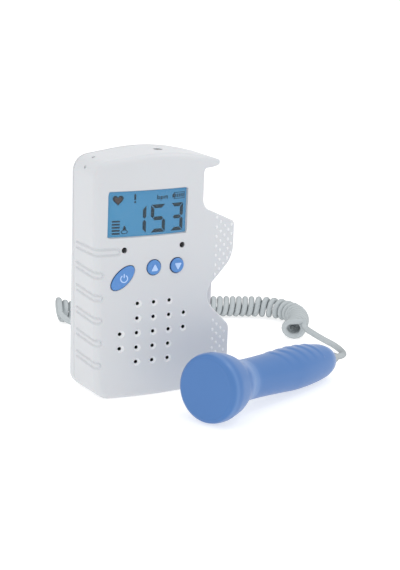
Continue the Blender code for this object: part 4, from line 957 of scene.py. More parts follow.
keys = {
    "radius": 4.4,
    "gap": 0.3,
    "holeFlare": 0.16,
    # The round keys' dish by radius and depth; the power key's by share and depth, its rim by growth and depth
    "dish": ((0, 0.42), (1.3, 0.39), (2.4, 0.28), (3.0, 0.14), (3.4, 0.04), (3.7, 0.02), (3.95, 0.12),
             (4.18, 0.34), (4.33, 0.68)),
    "powerDish": ((0.03, 0.22), (0.2, 0.21), (0.4, 0.18), (0.6, 0.12), (0.75, 0.05), (0.85, 0.0)),
    "powerRim": ((-0.6, 0.03), (-0.32, 0.14), (-0.12, 0.36), (-0.02, 0.66), (0.0, 0.95)),
    "symbolShift": 0.45,
    "symbolDepth": 0.5,
    "triangle": (4.7, 4.2),
    "ring": (2.05, 0.62),
    "ringOpening": math.radians(64),
    "proud": 0.9,
    "up": (-9.1, 76.4),
    "down": (6.3, 76.2),
    "power": (-28.2, 71.6),
    "powerLength": 17.5,
    "powerWidth": 8.8,
    "powerTurn": math.radians(45),
    "collar": 1.4,
    "collarThick": 1.0,
    "stem": 1.6,
    "stemEnd": -11.4,
}


def powerOutline(grow=0.0, share=1.0):
    long, short = (keys["powerLength"] / 2 + grow) * share, (keys["powerWidth"] / 2 + grow) * share
    points = []
    for k in range(72):
        turn = 2 * math.pi * k / 72
        point = Vector((long * math.cos(turn), short * math.sin(turn)))
        points.append(Matrix.Rotation(keys["powerTurn"], 2) @ point + Vector(keys["power"]))
    return points


lamps = {
    "left": (-27.6, 87.5), "right": (9.6, 87.8), "radius": 1.4, "root": -6.3,
    "dome": ((0, 0.0), (0.5, 0.06), (0.9, 0.22), (1.2, 0.5), (1.36, 0.85)),
}
jack = {
    "x": -0.8, "y": -3.1, "hole": 2.8, "neck": 2.5, "bore": 1.8,
    "halfWidth": 4.0, "low": 125.7, "high": 137.6, "boreLow": 129.1, "collar": 134.0, "rim": 139.6,
    "top": 142.0,
}
strap = {"radius": 0.75, "low": 7.3, "places": ((math.radians(104.5), 2.6), (math.radians(146.7), 1.1))}
# Short and long ribs give their width, the x where they end on the face, and their rise towards the back
ribs = {
    "low": 20.8, "pitch": 13.2, "count": 5, "short": (3.1, -39.6, 1.4), "longZ": 86.7,
    "long": (3.4, -30.2, 0.0), "rearY": 11.6, "fade": 2.0, "groove": 0.95,
}


# A copy of one small shape on each point, turned to the point's normal
def makeScatterTree():
    tree, entry, leave, known = newTree(
        "setOnPoints", "GeometryNodeTree",
        {
            "Geometry": ("Geometry", None),
            "Shape": ("Object", None),
            "Size": ("Float", 1.0),
            "Size Spread": ("Float", 0.0),
            "Seed": ("Int", 7),
            "Finish": ("Material", None),
        },
        {"Geometry": "Geometry"},
    )
    shape = addNode(tree, "GeometryNodeObjectInfo", {"Object": entry["Shape"]})
    facing = addNode(tree, "GeometryNodeInputNamedAttribute", {"Name": "facing"}, data_type="FLOAT_VECTOR")
    feeds = {"Vector": facing.outputs["Attribute"]}
    turn = addNode(tree, "FunctionNodeAlignRotationToVector", feeds, axis="Z")
    low, high = (calc(way, entry["Size"], entry["Size Spread"]) for way in ("SUBTRACT", "ADD"))
    feeds = {2: low, 3: high, "Seed": entry["Seed"]}
    size = addNode(tree, "FunctionNodeRandomValue", feeds, data_type="FLOAT")
    copies = addNode(tree, "GeometryNodeInstanceOnPoints", {
        "Points": entry["Geometry"],
        "Instance": shape.outputs["Geometry"],
        "Rotation": turn.outputs["Rotation"],
        "Scale": size.outputs[1],
    })
    endTree(copies.outputs["Instances"], entry, leave)
    return tree, known


scatterTree, scatterKnown = makeScatterTree()


def scattered(name, spots, shape, material):
    mesh = bpy.data.meshes.new(name)
    mesh.from_pydata([tuple(place) for place, _ in spots], [], [])
    facing = mesh.attributes.new("facing", "FLOAT_VECTOR", "POINT")
    facing.data.foreach_set("vector", [c for _, way in spots for c in way])
    made = bpy.data.objects.new(name, mesh)
    scene.collection.objects.link(made)
    step = made.modifiers.new("scatter", "NODES")
    step.node_group = scatterTree
    step[scatterKnown["Shape"]] = shape
    step[scatterKnown["Finish"]] = finish[material]
    bake(made)
    drop(shape)
    return made


def skinPoint(z, arc):
    x = leftX(z)
    rim = case["rim"]
    rimArc = rim * math.pi / 2
    if arc <= 0:
        return Vector((x, case["front"] + bow(x) + rim - arc, z)), Vector((-1, 0, 0))
    if arc < rimArc:
        turn = arc / rim
        px = x + rim * (1 - math.cos(turn))
        return (Vector((px, faceY(px) + rim * (1 - math.sin(turn)), z)),
                Vector((-math.cos(turn), -math.sin(turn), 0)))
    px = x + rim + (arc - rimArc)
    return Vector((px, faceY(px), z)), Vector((bow(px + 0.5) - bow(px - 0.5), -1, 0)).normalized()


def ribLoop(z, width, frontX, rise):
    half = width / 2
    rimArc = case["rim"] * math.pi / 2
    rear = -(ribs["rearY"] - case["front"] - bow(leftX(z)) - case["rim"])
    inward = frontX - leftX(z)
    front = rimArc + inward - case["rim"] - half
    if inward < case["rim"]:
        front = case["rim"] * math.acos(1 - inward / case["rim"]) - half
    arcs = [rear + (front - rear) * k / 40 for k in range(41)]

    def leg(side):
        made = []
        for arc in arcs:
            lift = z + side * half + rise * min(max(-arc, 0.0), -rear) / -rear
            point, normal = skinPoint(lift, arc)
            if arc < rear + ribs["fade"]:
                point += normal * ribs["groove"] * (1 - (arc - rear) / ribs["fade"])
            made.append((point, normal))
        return made

    end = []
    for k in range(1, 12):
        turn = -math.pi / 2 + math.pi * k / 12
        end.append(skinPoint(z + half * math.sin(turn), front + half * math.cos(turn)))
    return leg(-1) + end + list(reversed(leg(1)))


# A groove's cutter: a soft valley with flared lips, swept along points that carry the skin's normal
def grooveCutter(name, loop, size):
    section = ((-1.9, 0.9), (-1.9, 0.28), (-1.15, 0.04), (-0.75, -0.22), (-0.38, -0.62), (0.0, -0.78),
               (0.38, -0.62), (0.75, -0.22), (1.15, 0.04), (1.9, 0.28), (1.9, 0.9))
    rings = []
    for k, (point, normal) in enumerate(loop):
        along = (loop[min(k + 1, len(loop) - 1)][0] - loop[max(k - 1, 0)][0]).normalized()
        across = normal.cross(along).normalized()
        rings.append([point + (across * u + normal * v) * size for u, v in section])
    return objectOf(name, loft(rings))


def channelCutter():
    high = (case["shoulderZ"] + case["hookUnder"]) / 2
    place = Matrix.Translation((cradleX, cradleY, 0))
    hollow = rodBody("hollow", case["cradleRadius"], -overrun, high, 96, place)
    side = blockBody("side", (case["cradleLipX"], cradleY, -6),
                     (cradleX + 28, case["rearFoot"] + overrun, high - overrun))
    return carve(hollow, side, "UNION")


def frontHoles():
    soft, deep = case["softEdge"], screenPane["recess"] + screenPane["thick"] + case["gap"]
    levels = ((soft + overrun, -overrun), (soft, 0.0), (0.0, soft), (0.0, deep))
    cutters = [paneBlock("recess", case["gap"], 0.7, levels)]
    for x, z in (keys["up"], keys["down"]):
        cutters.append(boreBody("keyHole", x, z, keys["radius"] + keys["gap"], keys["holeFlare"]))
    rings = []
    gap, flare = keys["gap"], keys["holeFlare"]
    for grow, depth in ((gap + overrun, -overrun), (gap + flare, 0.0), (gap, flare), (gap, case["holeEnd"])):
        rings.append([(p.x, faceY(p.x) + depth, p.y) for p in powerOutline(grow)])
    cutters.append(objectOf("powerHole", loft(rings)))
    for x, z in (lamps["left"], lamps["right"]):
        cutters.append(boreBody("lampHole", x, z, lamps["radius"] + case["gap"], 0.2, 32))
    hole, low, top = jack["hole"], jack["collar"], jack["top"]
    profile = [(0, low), (hole, low), (hole, top), (hole + overrun, top + overrun), (0, top + overrun)]
    cutters.append(turnedBody("jackHole", profile, 48, Matrix.Translation((jack["x"], jack["y"], 0))))
    top, radius = case["topRadius"], strap["radius"]
    corner = Vector((case["leftTop"][0] + top, case["leftTop"][1] - top))
    profile = [(0, strap["low"]), (radius, strap["low"]), (radius, top - 0.3), (radius + 0.3, top + 0.1),
               (radius + 0.3, top + overrun), (0, top + overrun)]
    for turn, y in strap["places"]:
        place = Matrix.Translation((corner.x, y, corner.y)) @ Matrix.Rotation(math.pi / 2 - turn, 4, "Y")
        cutters.append(turnedBody("strapHole", profile, 28, place))
    return gather("cutters", cutters)


def grilleBores():
    wide, bore, deepest, end = grille["sink"], grille["hole"], grille["sinkDepth"], case["openingEnd"]
    profile = [(0, -0.8), (wide + 0.5, -0.8), (wide + 0.12, -0.02), (wide - 0.25, 0.1),
               (wide - 0.75, deepest * 0.7), (bore + 0.25, deepest * 0.9), (bore, deepest + 0.12),
               (bore, end), (0, end)]
    sink = turnedBody("sink", profile, 28)
    spots = []
    for column, first, last in grille["rows"]:
        for row in range(first, last + 1):
            x = grille["middle"][0] + column * grille["pitch"][0]
            z = grille["middle"][1] + row * grille["pitch"][1]
            spots.append((Vector((x, faceY(x), z)), Vector((0, 1, 0))))
    return scattered("grilleBores", spots, sink, "case")


# Front cover: bowed face, hook, flange, cradle, window seat, key holes, grille and looped finger grooves
def makeFrontShell():
    front, seam, wall, soft = case["front"], case["seam"], case["wall"], case["softEdge"]
    shell = bowedCase("frontShell", caseCorners, front, seam, strips=56, rimSteps=9, seamEdge=soft)
    depth, low, high = case["fill"]
    fill = blockBody("fill", (innerX, faceY(innerX) + depth, low), (case["cradleLipX"], seam, high))
    shell = carve(shell, fill, "UNION")
    shell = carve(shell, channelCutter())
    cavity = bowedCase("cavity", cavityCorners, front + wall, seam + overrun, strips=16, rimSteps=3)
    shell = carve(shell, cavity)
    shell = carve(shell, frontHoles())
    deep = screenPane["recess"] + screenPane["thick"] + case["gap"]
    levels = ((0.0, deep - 1.0), (0.0, case["openingEnd"]))
    opening = paneBlock("opening", -screenPane["seat"], 0.8, levels)
    shell = carve(shell, opening)
    shell = carve(shell, grilleBores())
    loops = [ribLoop(ribs["low"] + ribs["pitch"] * k, *ribs["short"]) for k in range(ribs["count"])]
    loops.append(ribLoop(ribs["longZ"], *ribs["long"]))
    shell = carve(shell, gather("grooves", [grooveCutter("groove", loop, ribs["groove"]) for loop in loops]))
    return settle(shell, "case", "unit", ["front_cover"])


makeFrontShell()
print("front shell made")


# Raised dots on the probe's side flange
dots = {
    "columns": (34.7, 37.9, 41.1, 44.2, 46.9),
    "lobes": ((101.0, 56.0), (39.2, 3.0)),
    "pitch": 5.65,
    "radius": 1.0,
    "height": 0.45,
    "margin": 2.0,
}


def insideBy(here, outline, margin):
    crossings = 0
    for p, q in zip(outline, outline[1:] + outline[:1]):
        if (p.y > here.y) != (q.y > here.y) and here.x < p.x + (q.x - p.x) * (here.y - p.y) / (q.y - p.y):
            crossings += 1
        edge = q - p
        share = min(max((here - p).dot(edge) / max(edge.length_squared, 1e-9), 0), 1)
        if (p + edge * share - here).length < margin:
            return False
    return crossings % 2 == 1


def dotSpots():
    outline = [p for p, _, _ in roundedOutline(caseCorners)]
    spots = []
    for index, x in enumerate(dots["columns"]):
        normal = Vector(((x - case["bowX"]) / case["bowRadius"], -1, 0)).normalized()
        for top, low in dots["lobes"]:
            z = top - (dots["pitch"] / 2 if index % 2 else 0.0)
            while z > low:
                if insideBy(Vector((x, z)), outline, dots["margin"]):
                    spots.append((Vector((x, faceY(x), z)), normal))
                z -= dots["pitch"]
    return spots


def makeDots():
    radius, height = dots["radius"], dots["height"]
    profile = [(0, -0.3), (radius, -0.3)]
    profile += [(radius * math.cos(t), height * math.sin(t)) for t in (0.0, 0.35, 0.7, 1.1)] + [(0, height)]
    dome = turnedBody("dome", profile, 16)
    made = scattered("flangeDots", dotSpots(), dome, "dot")
    return settle(made, "dot", "unit", [], 60)


makeDots()
print("flange dots made")


# Probe: a hollow head and handle, turned about one axis, with leaning ridges on top of the grip
def probeRadius(s):
    line = probeLine
    for (ra, a), (rb, b) in zip(line, line[1:]):
        if a <= s <= b:
            return ra + (rb - ra) * (s - a) / (b - a)
    return line[-1][0]


knots = [(r * probe["headRadius"] * probe["shrink"], s * probe["length"], 0.0) for s, r in probe["profile"]]
probeLine = [(p.x, p.y) for p in throughPoints(knots, 6)]


def gripRidge(s, turn):
    aside = abs((turn % (2 * math.pi)) - math.pi) / probe["ridgeTurn"]
    along = (s - probe["ridgeLean"] * aside - probe["ridgeFirst"]) / probe["ridgePitch"]
    if aside >= 1 or not 0 < along < probe["ridgeCount"]:
        return 0.0
    share = along % 1
    return probe["ridgeHeight"] * eased(min(share * 3, (1 - share) * 1.5)) * (1 - aside * aside)


# Painted highlights: the probe's glossy blue is made a little paler on its rim and round its neck, and painted
# shade darkens it where its surface turns away
def paintProbeHighlightsAndShade(place):
    tree, shader, colour = baseOf(finish["probe"])
    axis = (place.to_3x3() @ Vector((0, 0, 1))).normalized()
    feeds = {0: objectPoint(tree), 1: place.translation * mm}
    offset = addNode(tree, "ShaderNodeVectorMath", feeds, operation="SUBTRACT").outputs[0]
    feeds = {0: offset, 1: axis}
    along = addNode(tree, "ShaderNodeVectorMath", feeds, operation="DOT_PRODUCT").outputs["Value"]
    # Each band mixes in a pale blue as a painted highlight
    for middle, reach, lift in probe["paintedHighlightBands"]:
        apart = calc("ABSOLUTE", calc("SUBTRACT", along, middle * mm))
        share = ramp(apart, 0.0, reach * mm, lift, 0.0, "SMOOTHSTEP")
        colour = blendColour(share, colour, (0.30, 0.46, 0.74))
    feed(shader, Base_Color=colour)
    paintEdgeShade(finish["probe"], 0.3, (0.025, 0.10, 0.32))


def collarProfile(bore, root, low, high):
    return [(bore, low), (root + 1.2, low), (root + 1.2, high), (root, high)]


def makeProbe():
    place = probePlace()
    paintProbeHighlightsAndShade(place)
    split, wall, gap = probe["split"] * probe["length"], probe["wall"], 0.02
    lip = probeRadius(split)
    spigot, spigotStart = lip - wall, split - 6.0
    inside = [(r - wall, s) for r, s in probeLine if 2 * wall < s < spigotStart - wall]
    head = [(0, 0), *[(r, s) for r, s in probeLine if s < split - gap], (lip, split - gap)]
    head += [(spigot + 0.3, split - gap), (spigot + 0.3, spigotStart - 0.3), *reversed(inside)]
    head += [(inside[0][0], wall), (0, wall)]
    made = turnedBody("probeHead", head, probe["steps"], place)
    settle(made, "probe", "probe", ["probe_head"], 38)

    grip, gripEnd = probe["ridgeFirst"], probe["ridgeFirst"] + probe["ridgePitch"] * probe["ridgeCount"]
    levels = [s for _, s in probeLine if s > split + gap and not grip <= s <= gripEnd]
    rings = round((gripEnd - grip) / 0.6)
    levels += [grip + (gripEnd - grip) * k / rings for k in range(rings + 1)]
    outer = [(probeRadius(s), s) for s in sorted(levels)]
    hollow = [(r - wall, s) for r, s in probeLine if split + wall < s < probe["length"] * 0.93]
    hole = probe["bootRoot"] + 0.3
    handle = [(spigot - 1.6, spigotStart), (spigot, spigotStart), (spigot, split + gap), (lip, split + gap)]
    handle += [*outer[:-1], (outer[-1][0] - 0.2, outer[-1][1] - 0.05), (hole, probe["length"])]
    handle += [(hole, hollow[-1][1] + wall), *reversed(hollow), (spigot - 1.6, split + wall / 2)]
    made = turnedBody("probeHandle", handle, probe["steps"])
    for v in made.data.vertices:
        out = Vector(v.co[:2])
        if grip <= v.co.z <= gripEnd and out.length > probeRadius(v.co.z) - wall / 2:
            v.co += out.to_3d().normalized() * gripRidge(v.co.z, math.atan2(out.y, out.x))
    made.data.transform(place)
    settle(made, "probe", "probe", ["probe_handle"], 38)

    root, tip, bore = probe["bootRoot"], probe["bootTip"], cord["radius"] + 0.12
    start, end = hollow[-1][1] - 0.3, probe["length"] + probe["bootLength"]
    boot = [*collarProfile(bore, root, start - 1.4, start), (root, probe["length"] + 0.4)]
    boot += [(root - 0.1, probe["length"] + 1.4), (root - 0.42, end - 4.4), (tip + 0.12, end - 1.6)]
    boot += [(tip, end - 0.5), (tip - 0.3, end - 0.08), (bore + 0.25, end), (bore, end - 0.3)]
    made = turnedBody("probeBoot", boot, 56, place)
    return settle(made, "cord", "probe", ["probe_boot"], 45)


probeBoot = makeProbe()
print("probe made")


# Ribbed gland where the cord leaves the back
gland = {"root": 4.2, "tip": 3.2, "length": 15.0, "rib": 0.55, "count": 3}


def makeGland():
    x, _, z = cord["exit"]
    skin = backY(z)
    inner = skin - case["wall"] - case["gap"]
    root, tip, length, rib, count = gland.values()
    bore, end = cord["radius"] + 0.12, skin + length
    profile = [*collarProfile(bore, root, inner - 1.4, inner - 0.3), (root, skin + rib * 0.6)]
    pitch = (length - 2 * rib) / count
    for k in range(count):
        at = skin + rib + pitch * k
        here = root + (tip - root) * (k + 0.5) / count
        for inset, share in ((0.12, 0.06), (0, 0.12), (0, 0.5), (0.12, 0.57), (rib, 0.66), (rib, 0.92)):
            profile.append((here - inset, at + pitch * share))
    profile += [(tip - 0.1, end - rib), (tip, end - rib * 0.8), (tip, end - 0.3), (tip - 0.25, end),
                (bore, end)]
    made = turnedBody("cordGland", profile, 56, alongY(x, 0, z))
    return settle(made, "cord", "unit", ["cord_gland"], 45)


cordGland = makeGland()


# Keys with a dished top, a stem that reaches its switch, and a symbol of their own
def keySeat(x, reach):
    return case["front"] + max(bow(x - reach), bow(x + reach)) + case["wall"] + case["gap"]


def plate(name, outlines, top, depth):
    pieces = []
    for outline in outlines:
        bm = loft([[(x, top(x) + level, z) for x, z in outline] for level in (0.0, depth)])
        splitCaps(bm)
        pieces.append(objectOf("part", bm))
    return gather(name, pieces)


# A curved stroke of even width, open or joined to a ring
def strokeBody(name, x, z, reach, width, start, end, top, depth, steps=32, squash=1.0):
    closed = end - start > 2 * math.pi - 0.01
    rings = []
    for k in range(steps if closed else steps + 1):
        turn = start + (end - start) * k / steps
        ring = []
        for far, deep in ((0.5, 0.0), (-0.5, 0.0), (-0.5, depth), (0.5, depth)):
            px = x + (reach + width * far) * math.cos(turn)
            pz = z + (reach * squash + width * far) * math.sin(turn)
            ring.append((px, top(px) + deep, pz))
        rings.append(ring)
    return objectOf(name, loft(rings, closed))


def softTriangle(x, z, wide, tall, up):
    places = ((-wide / 2, -tall / 2), (wide / 2, -tall / 2), (0.0, tall / 2))
    corners = [(px, pz, 0.45, 0.0) for px, pz in places]
    return [(x + p.x * up, z + p.y * up) for p, _, _ in roundedOutline(corners)]


def makeRoundKey(name, node, place, up):
    x, z = place
    top = faceY(x) - keys["proud"]
    radius, stem, end = keys["radius"], keys["stem"], keys["stemEnd"] - top
    wide = radius + keys["collar"]
    collar = keySeat(x, wide) - top
    back = collar + keys["collarThick"]
    profile = [*keys["dish"], (radius, 1.1), (radius, collar), (wide, collar), (wide, back), (stem, back),
               (stem, end), (0, end)]
    made = turnedBody(name, profile, 72, alongY(x, top, z))
    settle(made, "key", node + "_body", [node], 40)
    outline = softTriangle(x + keys["symbolShift"], z + min(up, 0) * 0.7, *keys["triangle"], up)
    symbol = plate(name + "Symbol", [outline], lambda _: top + 0.2, keys["symbolDepth"])
    settle(symbol, "keyIcon", node + "_body", [], 30)


def makePowerKey():
    x, z = keys["power"]
    proud, stem, depth = 0.1 - keys["proud"], keys["stem"], keys["symbolDepth"]
    levels = [(0.0, share, drop - 0.02) for share, drop in keys["powerDish"]]
    levels += [(grow, 1.0, drop) for grow, drop in keys["powerRim"]]
    rings = []
    for grow, share, drop in levels:
        rings.append([(p.x, faceY(p.x) + proud + drop, p.y) for p in powerOutline(grow, share)])
    seat = keySeat(x, max(p.x for p in powerOutline(keys["collar"])) - x)
    for grow, level in ((0.0, seat), (keys["collar"], seat), (keys["collar"], seat + keys["collarThick"])):
        rings.append([(p.x, level, p.y) for p in powerOutline(grow)])
    made = objectOf("powerKey", loft(rings))
    made = carve(made, rodBody("stem", stem, seat, keys["stemEnd"], 32, alongY(x, 0, z)), "UNION")
    settle(made, "key", "power_key_body", ["power_key"], 40)

    def symbolTop(px):
        return faceY(px) + proud + 0.08

    x, z, half = x + keys["symbolShift"], z - 0.3, keys["ringOpening"] / 2
    start, end = math.pi / 2 + half, math.pi * 2.5 - half
    ring = strokeBody("ring", x, z, *keys["ring"], start, end, symbolTop, depth)
    upright = plate("upright", [rectangle(x - 0.33, x + 0.33, z + 0.5, z + 2.85)], symbolTop, depth)
    settle(gather("powerKeySymbol", [ring, upright]), "keyIcon", "power_key_body", [], 30)


makePowerKey()
makeRoundKey("volumeUpKey", "volume_up_key", keys["up"], 1)
makeRoundKey("volumeDownKey", "volume_down_key", keys["down"], -1)
print("keys made")


# Screen: a clear pane, the lit film behind it, and the shapes that the film shows
def paneX(share):
    return screenPane["left"] + share * (screenPane["right"] - screenPane["left"])


def paneZ(share):
    return screenPane["low"] + share * (screenPane["high"] - screenPane["low"])


def bar(u0, u1, v0, v1):
    return rectangle(paneX(u0), paneX(u1), paneZ(v0), paneZ(v1))


def digit(u0, u1, v0, v1, lit):
    left, right, low, high = paneX(u0), paneX(u1), paneZ(v0), paneZ(v1)
    middle, thick, gap = (low + high) / 2, 2.1, 0.3
    half = thick / 2
    made = []
    for name, level, way in (("top", high, -1), ("bottom", low, 1)):
        if name in lit:
            inner = level + way * thick
            made.append([(left + gap, level), (right - gap, level), (right - gap - thick, inner),
                         (left + gap + thick, inner)])
    if "middle" in lit:
        made.append([(left + gap + half, middle), (left + gap + thick, middle - half),
                     (right - gap - thick, middle - half), (right - gap - half, middle),
                     (right - gap - thick, middle + half), (left + gap + thick, middle + half)])
    for name, edge, way, end, turn in (
        ("upperLeft", left, 1, high, -1), ("upperRight", right, -1, high, -1),
        ("lowerLeft", left, 1, low, 1), ("lowerRight", right, -1, low, 1),
    ):
        if name in lit:
            inner = middle - turn * gap
            made.append([(edge, end + turn * gap), (edge + way * thick, end + turn * (gap + thick)),
                         (edge + way * thick, inner - turn * half), (edge + way * half, inner),
                         (edge, inner - turn * half)])
    return made


def heartOutline(x, z, wide, tall):
    points = []
    for k in range(48):
        t = 2 * math.pi * k / 48
        across = 16 * math.sin(t) ** 3
        up = 13 * math.cos(t) - 5 * math.cos(2 * t) - 2 * math.cos(3 * t) - math.cos(4 * t)
        points.append((x + across / 32 * wide, z + (up + 2.5) / 29 * tall))
    return points


def letters(top, depth):
    tall, stroke, gap = 1.75, 0.46, 0.5
    x, z = paneX(0.602), paneZ(0.785)
    reach = tall / 2 - stroke / 2
    stems, made = [], []
    for low, high in ((z, z + tall * 1.5), (z - tall * 0.5, z + tall)):
        stems.append(rectangle(x, x + stroke, low, high))
        middle = x + tall / 2 + 0.12
        made.append(strokeBody("bowl", middle, z + tall / 2, reach, stroke, 0, 2 * math.pi, top, depth, 24))
        x += tall + gap
    for k in range(3):
        at = x + k * 1.0
        stems.append(rectangle(at, at + stroke, z, z + tall * 0.7))
        if k < 2:
            middle = at + 0.73
            made.append(strokeBody("arch", middle, z + tall * 0.66, 0.5, stroke, 0, math.pi, top, depth, 12))
    return [*made, plate("stems", stems, top, depth)]


def frameBand(u0, u1, v0, v1, thick):
    left, right, low, high = paneX(u0), paneX(u1), paneZ(v0), paneZ(v1)
    return [
        rectangle(left, right, low, low + thick),
        rectangle(left, right, high - thick, high),
        rectangle(left, left + thick * 2.2, low + thick, high - thick),
        rectangle(right - thick, right, low + thick, high - thick),
    ]


# What the screen shows, in shares of the pane's width and height
shown = {
    "marks": ((0.3125, 0.336, 0.806, 0.93), (0.3135, 0.335, 0.738, 0.778)),
    "digits": (
        (0.430, 0.468, ("upperRight", "lowerRight")),
        (0.527, 0.715, ("top", "upperLeft", "middle", "lowerRight", "bottom")),
        (0.790, 0.955, ("top", "upperRight", "middle", "lowerRight", "bottom")),
    ),
    "digitHeights": (0.058, 0.676),
    "volume": (0.052, 0.146, 0.063, 0.101, 0.0672),
    "battery": (0.822, 0.97, 0.765, 0.911),
    "cells": (0.843, 0.8565, 0.0246),
    "contact": (0.804, 0.822),
    "cellHeights": (0.80, 0.876),
    "bell": (0.2025, 0.115),
    "heart": (0.118, 0.80),
    "depth": 0.16,
}


def segmentOutlines():
    shapes = [bar(*mark) for mark in shown["marks"]]
    for left, right, lit in shown["digits"]:
        shapes += digit(left, right, *shown["digitHeights"], lit)
    left, right, low, high, pitch = shown["volume"]
    shapes += [bar(left, right, low + pitch * k, high + pitch * k) for k in range(5)]
    shapes += frameBand(*shown["battery"], 0.3)
    shapes.append(bar(*shown["contact"], *shown["cellHeights"]))
    left, right, pitch = shown["cells"]
    shapes += [bar(left + pitch * k, right + pitch * k, *shown["cellHeights"]) for k in range(5)]
    x, z = paneX(shown["bell"][0]), paneZ(shown["bell"][1])
    shapes.append([(x - 1.1, z + 1.2), (x + 1.1, z + 1.2), (x + 0.35, z + 3.5), (x - 0.35, z + 3.5)])
    return shapes, x, z


def makeScreen():
    recess, depth = screenPane["recess"], shown["depth"]
    thick = recess + screenPane["thick"]
    levels = ((-0.12, recess), (-0.03, recess + 0.05), (0.0, recess + 0.14), (0.0, thick))
    made = paneBlock("screenPane", 0.0, screenPane["radius"], levels)
    settle(made, "pane", "unit", ["screen_window"], 50)
    film = paneBlock("screenFilm", -screenPane["filmInset"], 0.5, ((0.0, thick + 0.1), (0.0, thick + 0.28)))
    settle(film, "screen", "unit", [], 50)

    def front(x):
        return faceY(x) + thick + 0.02

    shapes, x, z = segmentOutlines()
    bell = strokeBody("bell", x, z, 1.85, 0.4, 0, 2 * math.pi, front, depth, 36, 0.55)
    made = gather("screenSegments", [plate("bars", shapes, front, depth), bell, *letters(front, depth)])
    settle(made, "segment", "unit", [], 30)
    x, z = paneX(shown["heart"][0]), paneZ(shown["heart"][1])
    heart = plate("screenHeart", [heartOutline(x, z, 6.5, 6.0)], front, depth)
    settle(heart, "segment", "unit", [], 30)
    middle = plate("screenHeartMiddle", [heartOutline(x, z, 4.6, 4.1)], lambda px: front(px) - 0.012, 0.1)
    settle(middle, "heart", "unit", [], 30)


makeScreen()
print("screen made")


# Lamps and headphone socket
def makeLamps():
    radius, root = lamps["radius"], lamps["root"]
    wide = radius + 0.7
    for name, node in (("left", "lamp_left"), ("right", "lamp_right")):
        x, z = lamps[name]
        start, collar = faceY(x) + 0.35, keySeat(x, wide)
        profile = [(r, start + level) for r, level in lamps["dome"]]
        profile += [(radius, start + 1.2), (radius, collar), (wide, collar), (wide, root), (0, root)]
        made = turnedBody("lamp" + name.capitalize(), profile, 36, alongY(x, 0, z))
        settle(made, "lens", "unit", [node], 40)


def makeJack():
    x, y, neck, bore, half = (jack[key] for key in ("x", "y", "neck", "bore", "halfWidth"))
    low, high = (x - half, y - half, jack["low"]), (x + half, y + half, jack["high"])
    body = blockBody("headphoneJack", low, high, 0.5)
    place, rim, low = Matrix.Translation((x, y, 0)), jack["rim"], jack["collar"]
    profile = [(0, low), (neck, low), (neck, rim), (neck - 0.25, rim + 0.25), (0, rim + 0.25)]
    body = carve(body, turnedBody("neck", profile, 48, place), "UNION")
    low = jack["boreLow"]
    profile = [(0, low), (bore, low), (bore, rim), (bore + 0.5, rim + 0.5), (0, rim + 0.5)]
    body = carve(body, turnedBody("bore", profile, 40, place))
    settle(body, "black", "unit", ["headphone_jack"], 35)


makeLamps()
makeJack()
print("lamps and socket made")


# Rear cover, with its battery tray, slots for the door's tabs, screw seats and the gland's hole
tray = {"left": -21.55, "right": 5.55, "low": 12.3, "high": 71.1, "floor": -1.9, "wall": 1.5}
door = {"foot": 11.3, "half": 14.55, "height": 60.9, "thick": 2.0, "tabX": 8.0, "tabHalf": 2.5,
        "dish": ((0, -1.1), (3.5, -0.95), (5.8, -0.5), (7.2, 0.05), (7.6, 1.0), (0, 1.0)), "dishDown": 12.0,
        "lineDown": 25.5, "linePitch": 2.2, "lineHalf": 0.35}
slope = math.atan2(case["rearFoot"] - case["rear"], case["slopeHigh"] - case["slopeLow"])
door["place"] = (Matrix.Translation((case["bowX"], backY(door["foot"]), door["foot"]))
                 @ Matrix.Rotation(slope, 4, "X"))
screws = {"places": ((-36.0, 12.0), (24.0, 24.0), (-37.4, 129.6), (17.4, 129.6)), "head": 2.5, "shank": 1.25,
          "seat": 3.35, "post": 3.2}


def backCase(name, corners, front, inset, rimSteps, seamEdge=0.0):
    points = roundedOutline(corners)
    rings = []
    if seamEdge:
        rings.append([(p.x - n.x * seamEdge, front, p.y - n.y * seamEdge) for p, n, _ in points])
    rings.append([(p.x, front + seamEdge, p.y) for p, _, _ in points])
    rings += reversed(rimRings(points, rimSteps, lambda z, drop: backY(z) - inset - drop))
    bm = loft(rings)
    for level in (case["slopeLow"], case["slopeHigh"]):
        cutAcross(bm, (0, 0, level), (0, 0, 1))
    splitCaps(bm)
    return objectOf(name, bm)


def doorBlock(name, low, high, edge=0.0):
    made = blockBody(name, low, high, edge)
    made.data.transform(door["place"])
    return made


def rearHoles():
    seam, seat = case["seam"], screws["seat"]
    cutters = []
    for middle in (-door["tabX"], door["tabX"]):
        half = door["tabHalf"] + case["gap"]
        cutters.append(doorBlock("slot", (middle - half, -4.9, -2.2), (middle + half, -door["thick"], 3.3)))
    shank, head = screws["shank"] + 0.3, screws["head"] + 0.3
    for x, z in screws["places"]:
        end = backY(z) - seam
        profile = [(0, -overrun), (shank, -overrun), (shank, seat), (head, seat), (head, end - 0.2),
                   (head + 0.35, end + 0.15), (head + 0.35, end + overrun), (0, end + overrun)]
        cutters.append(turnedBody("screwHole", profile, 40, alongY(x, seam, z)))
    hole = gland["root"] + 0.3
    profile = [(0, 0.6), (hole, 0.6), (hole, 8.6), (hole + 0.4, 9.1), (hole + 0.4, 12), (0, 12)]
    cutters.append(turnedBody("cordHole", profile, 48, alongY(cord["exit"][0], seam, cord["exit"][2])))
    return gather("cutters", cutters)


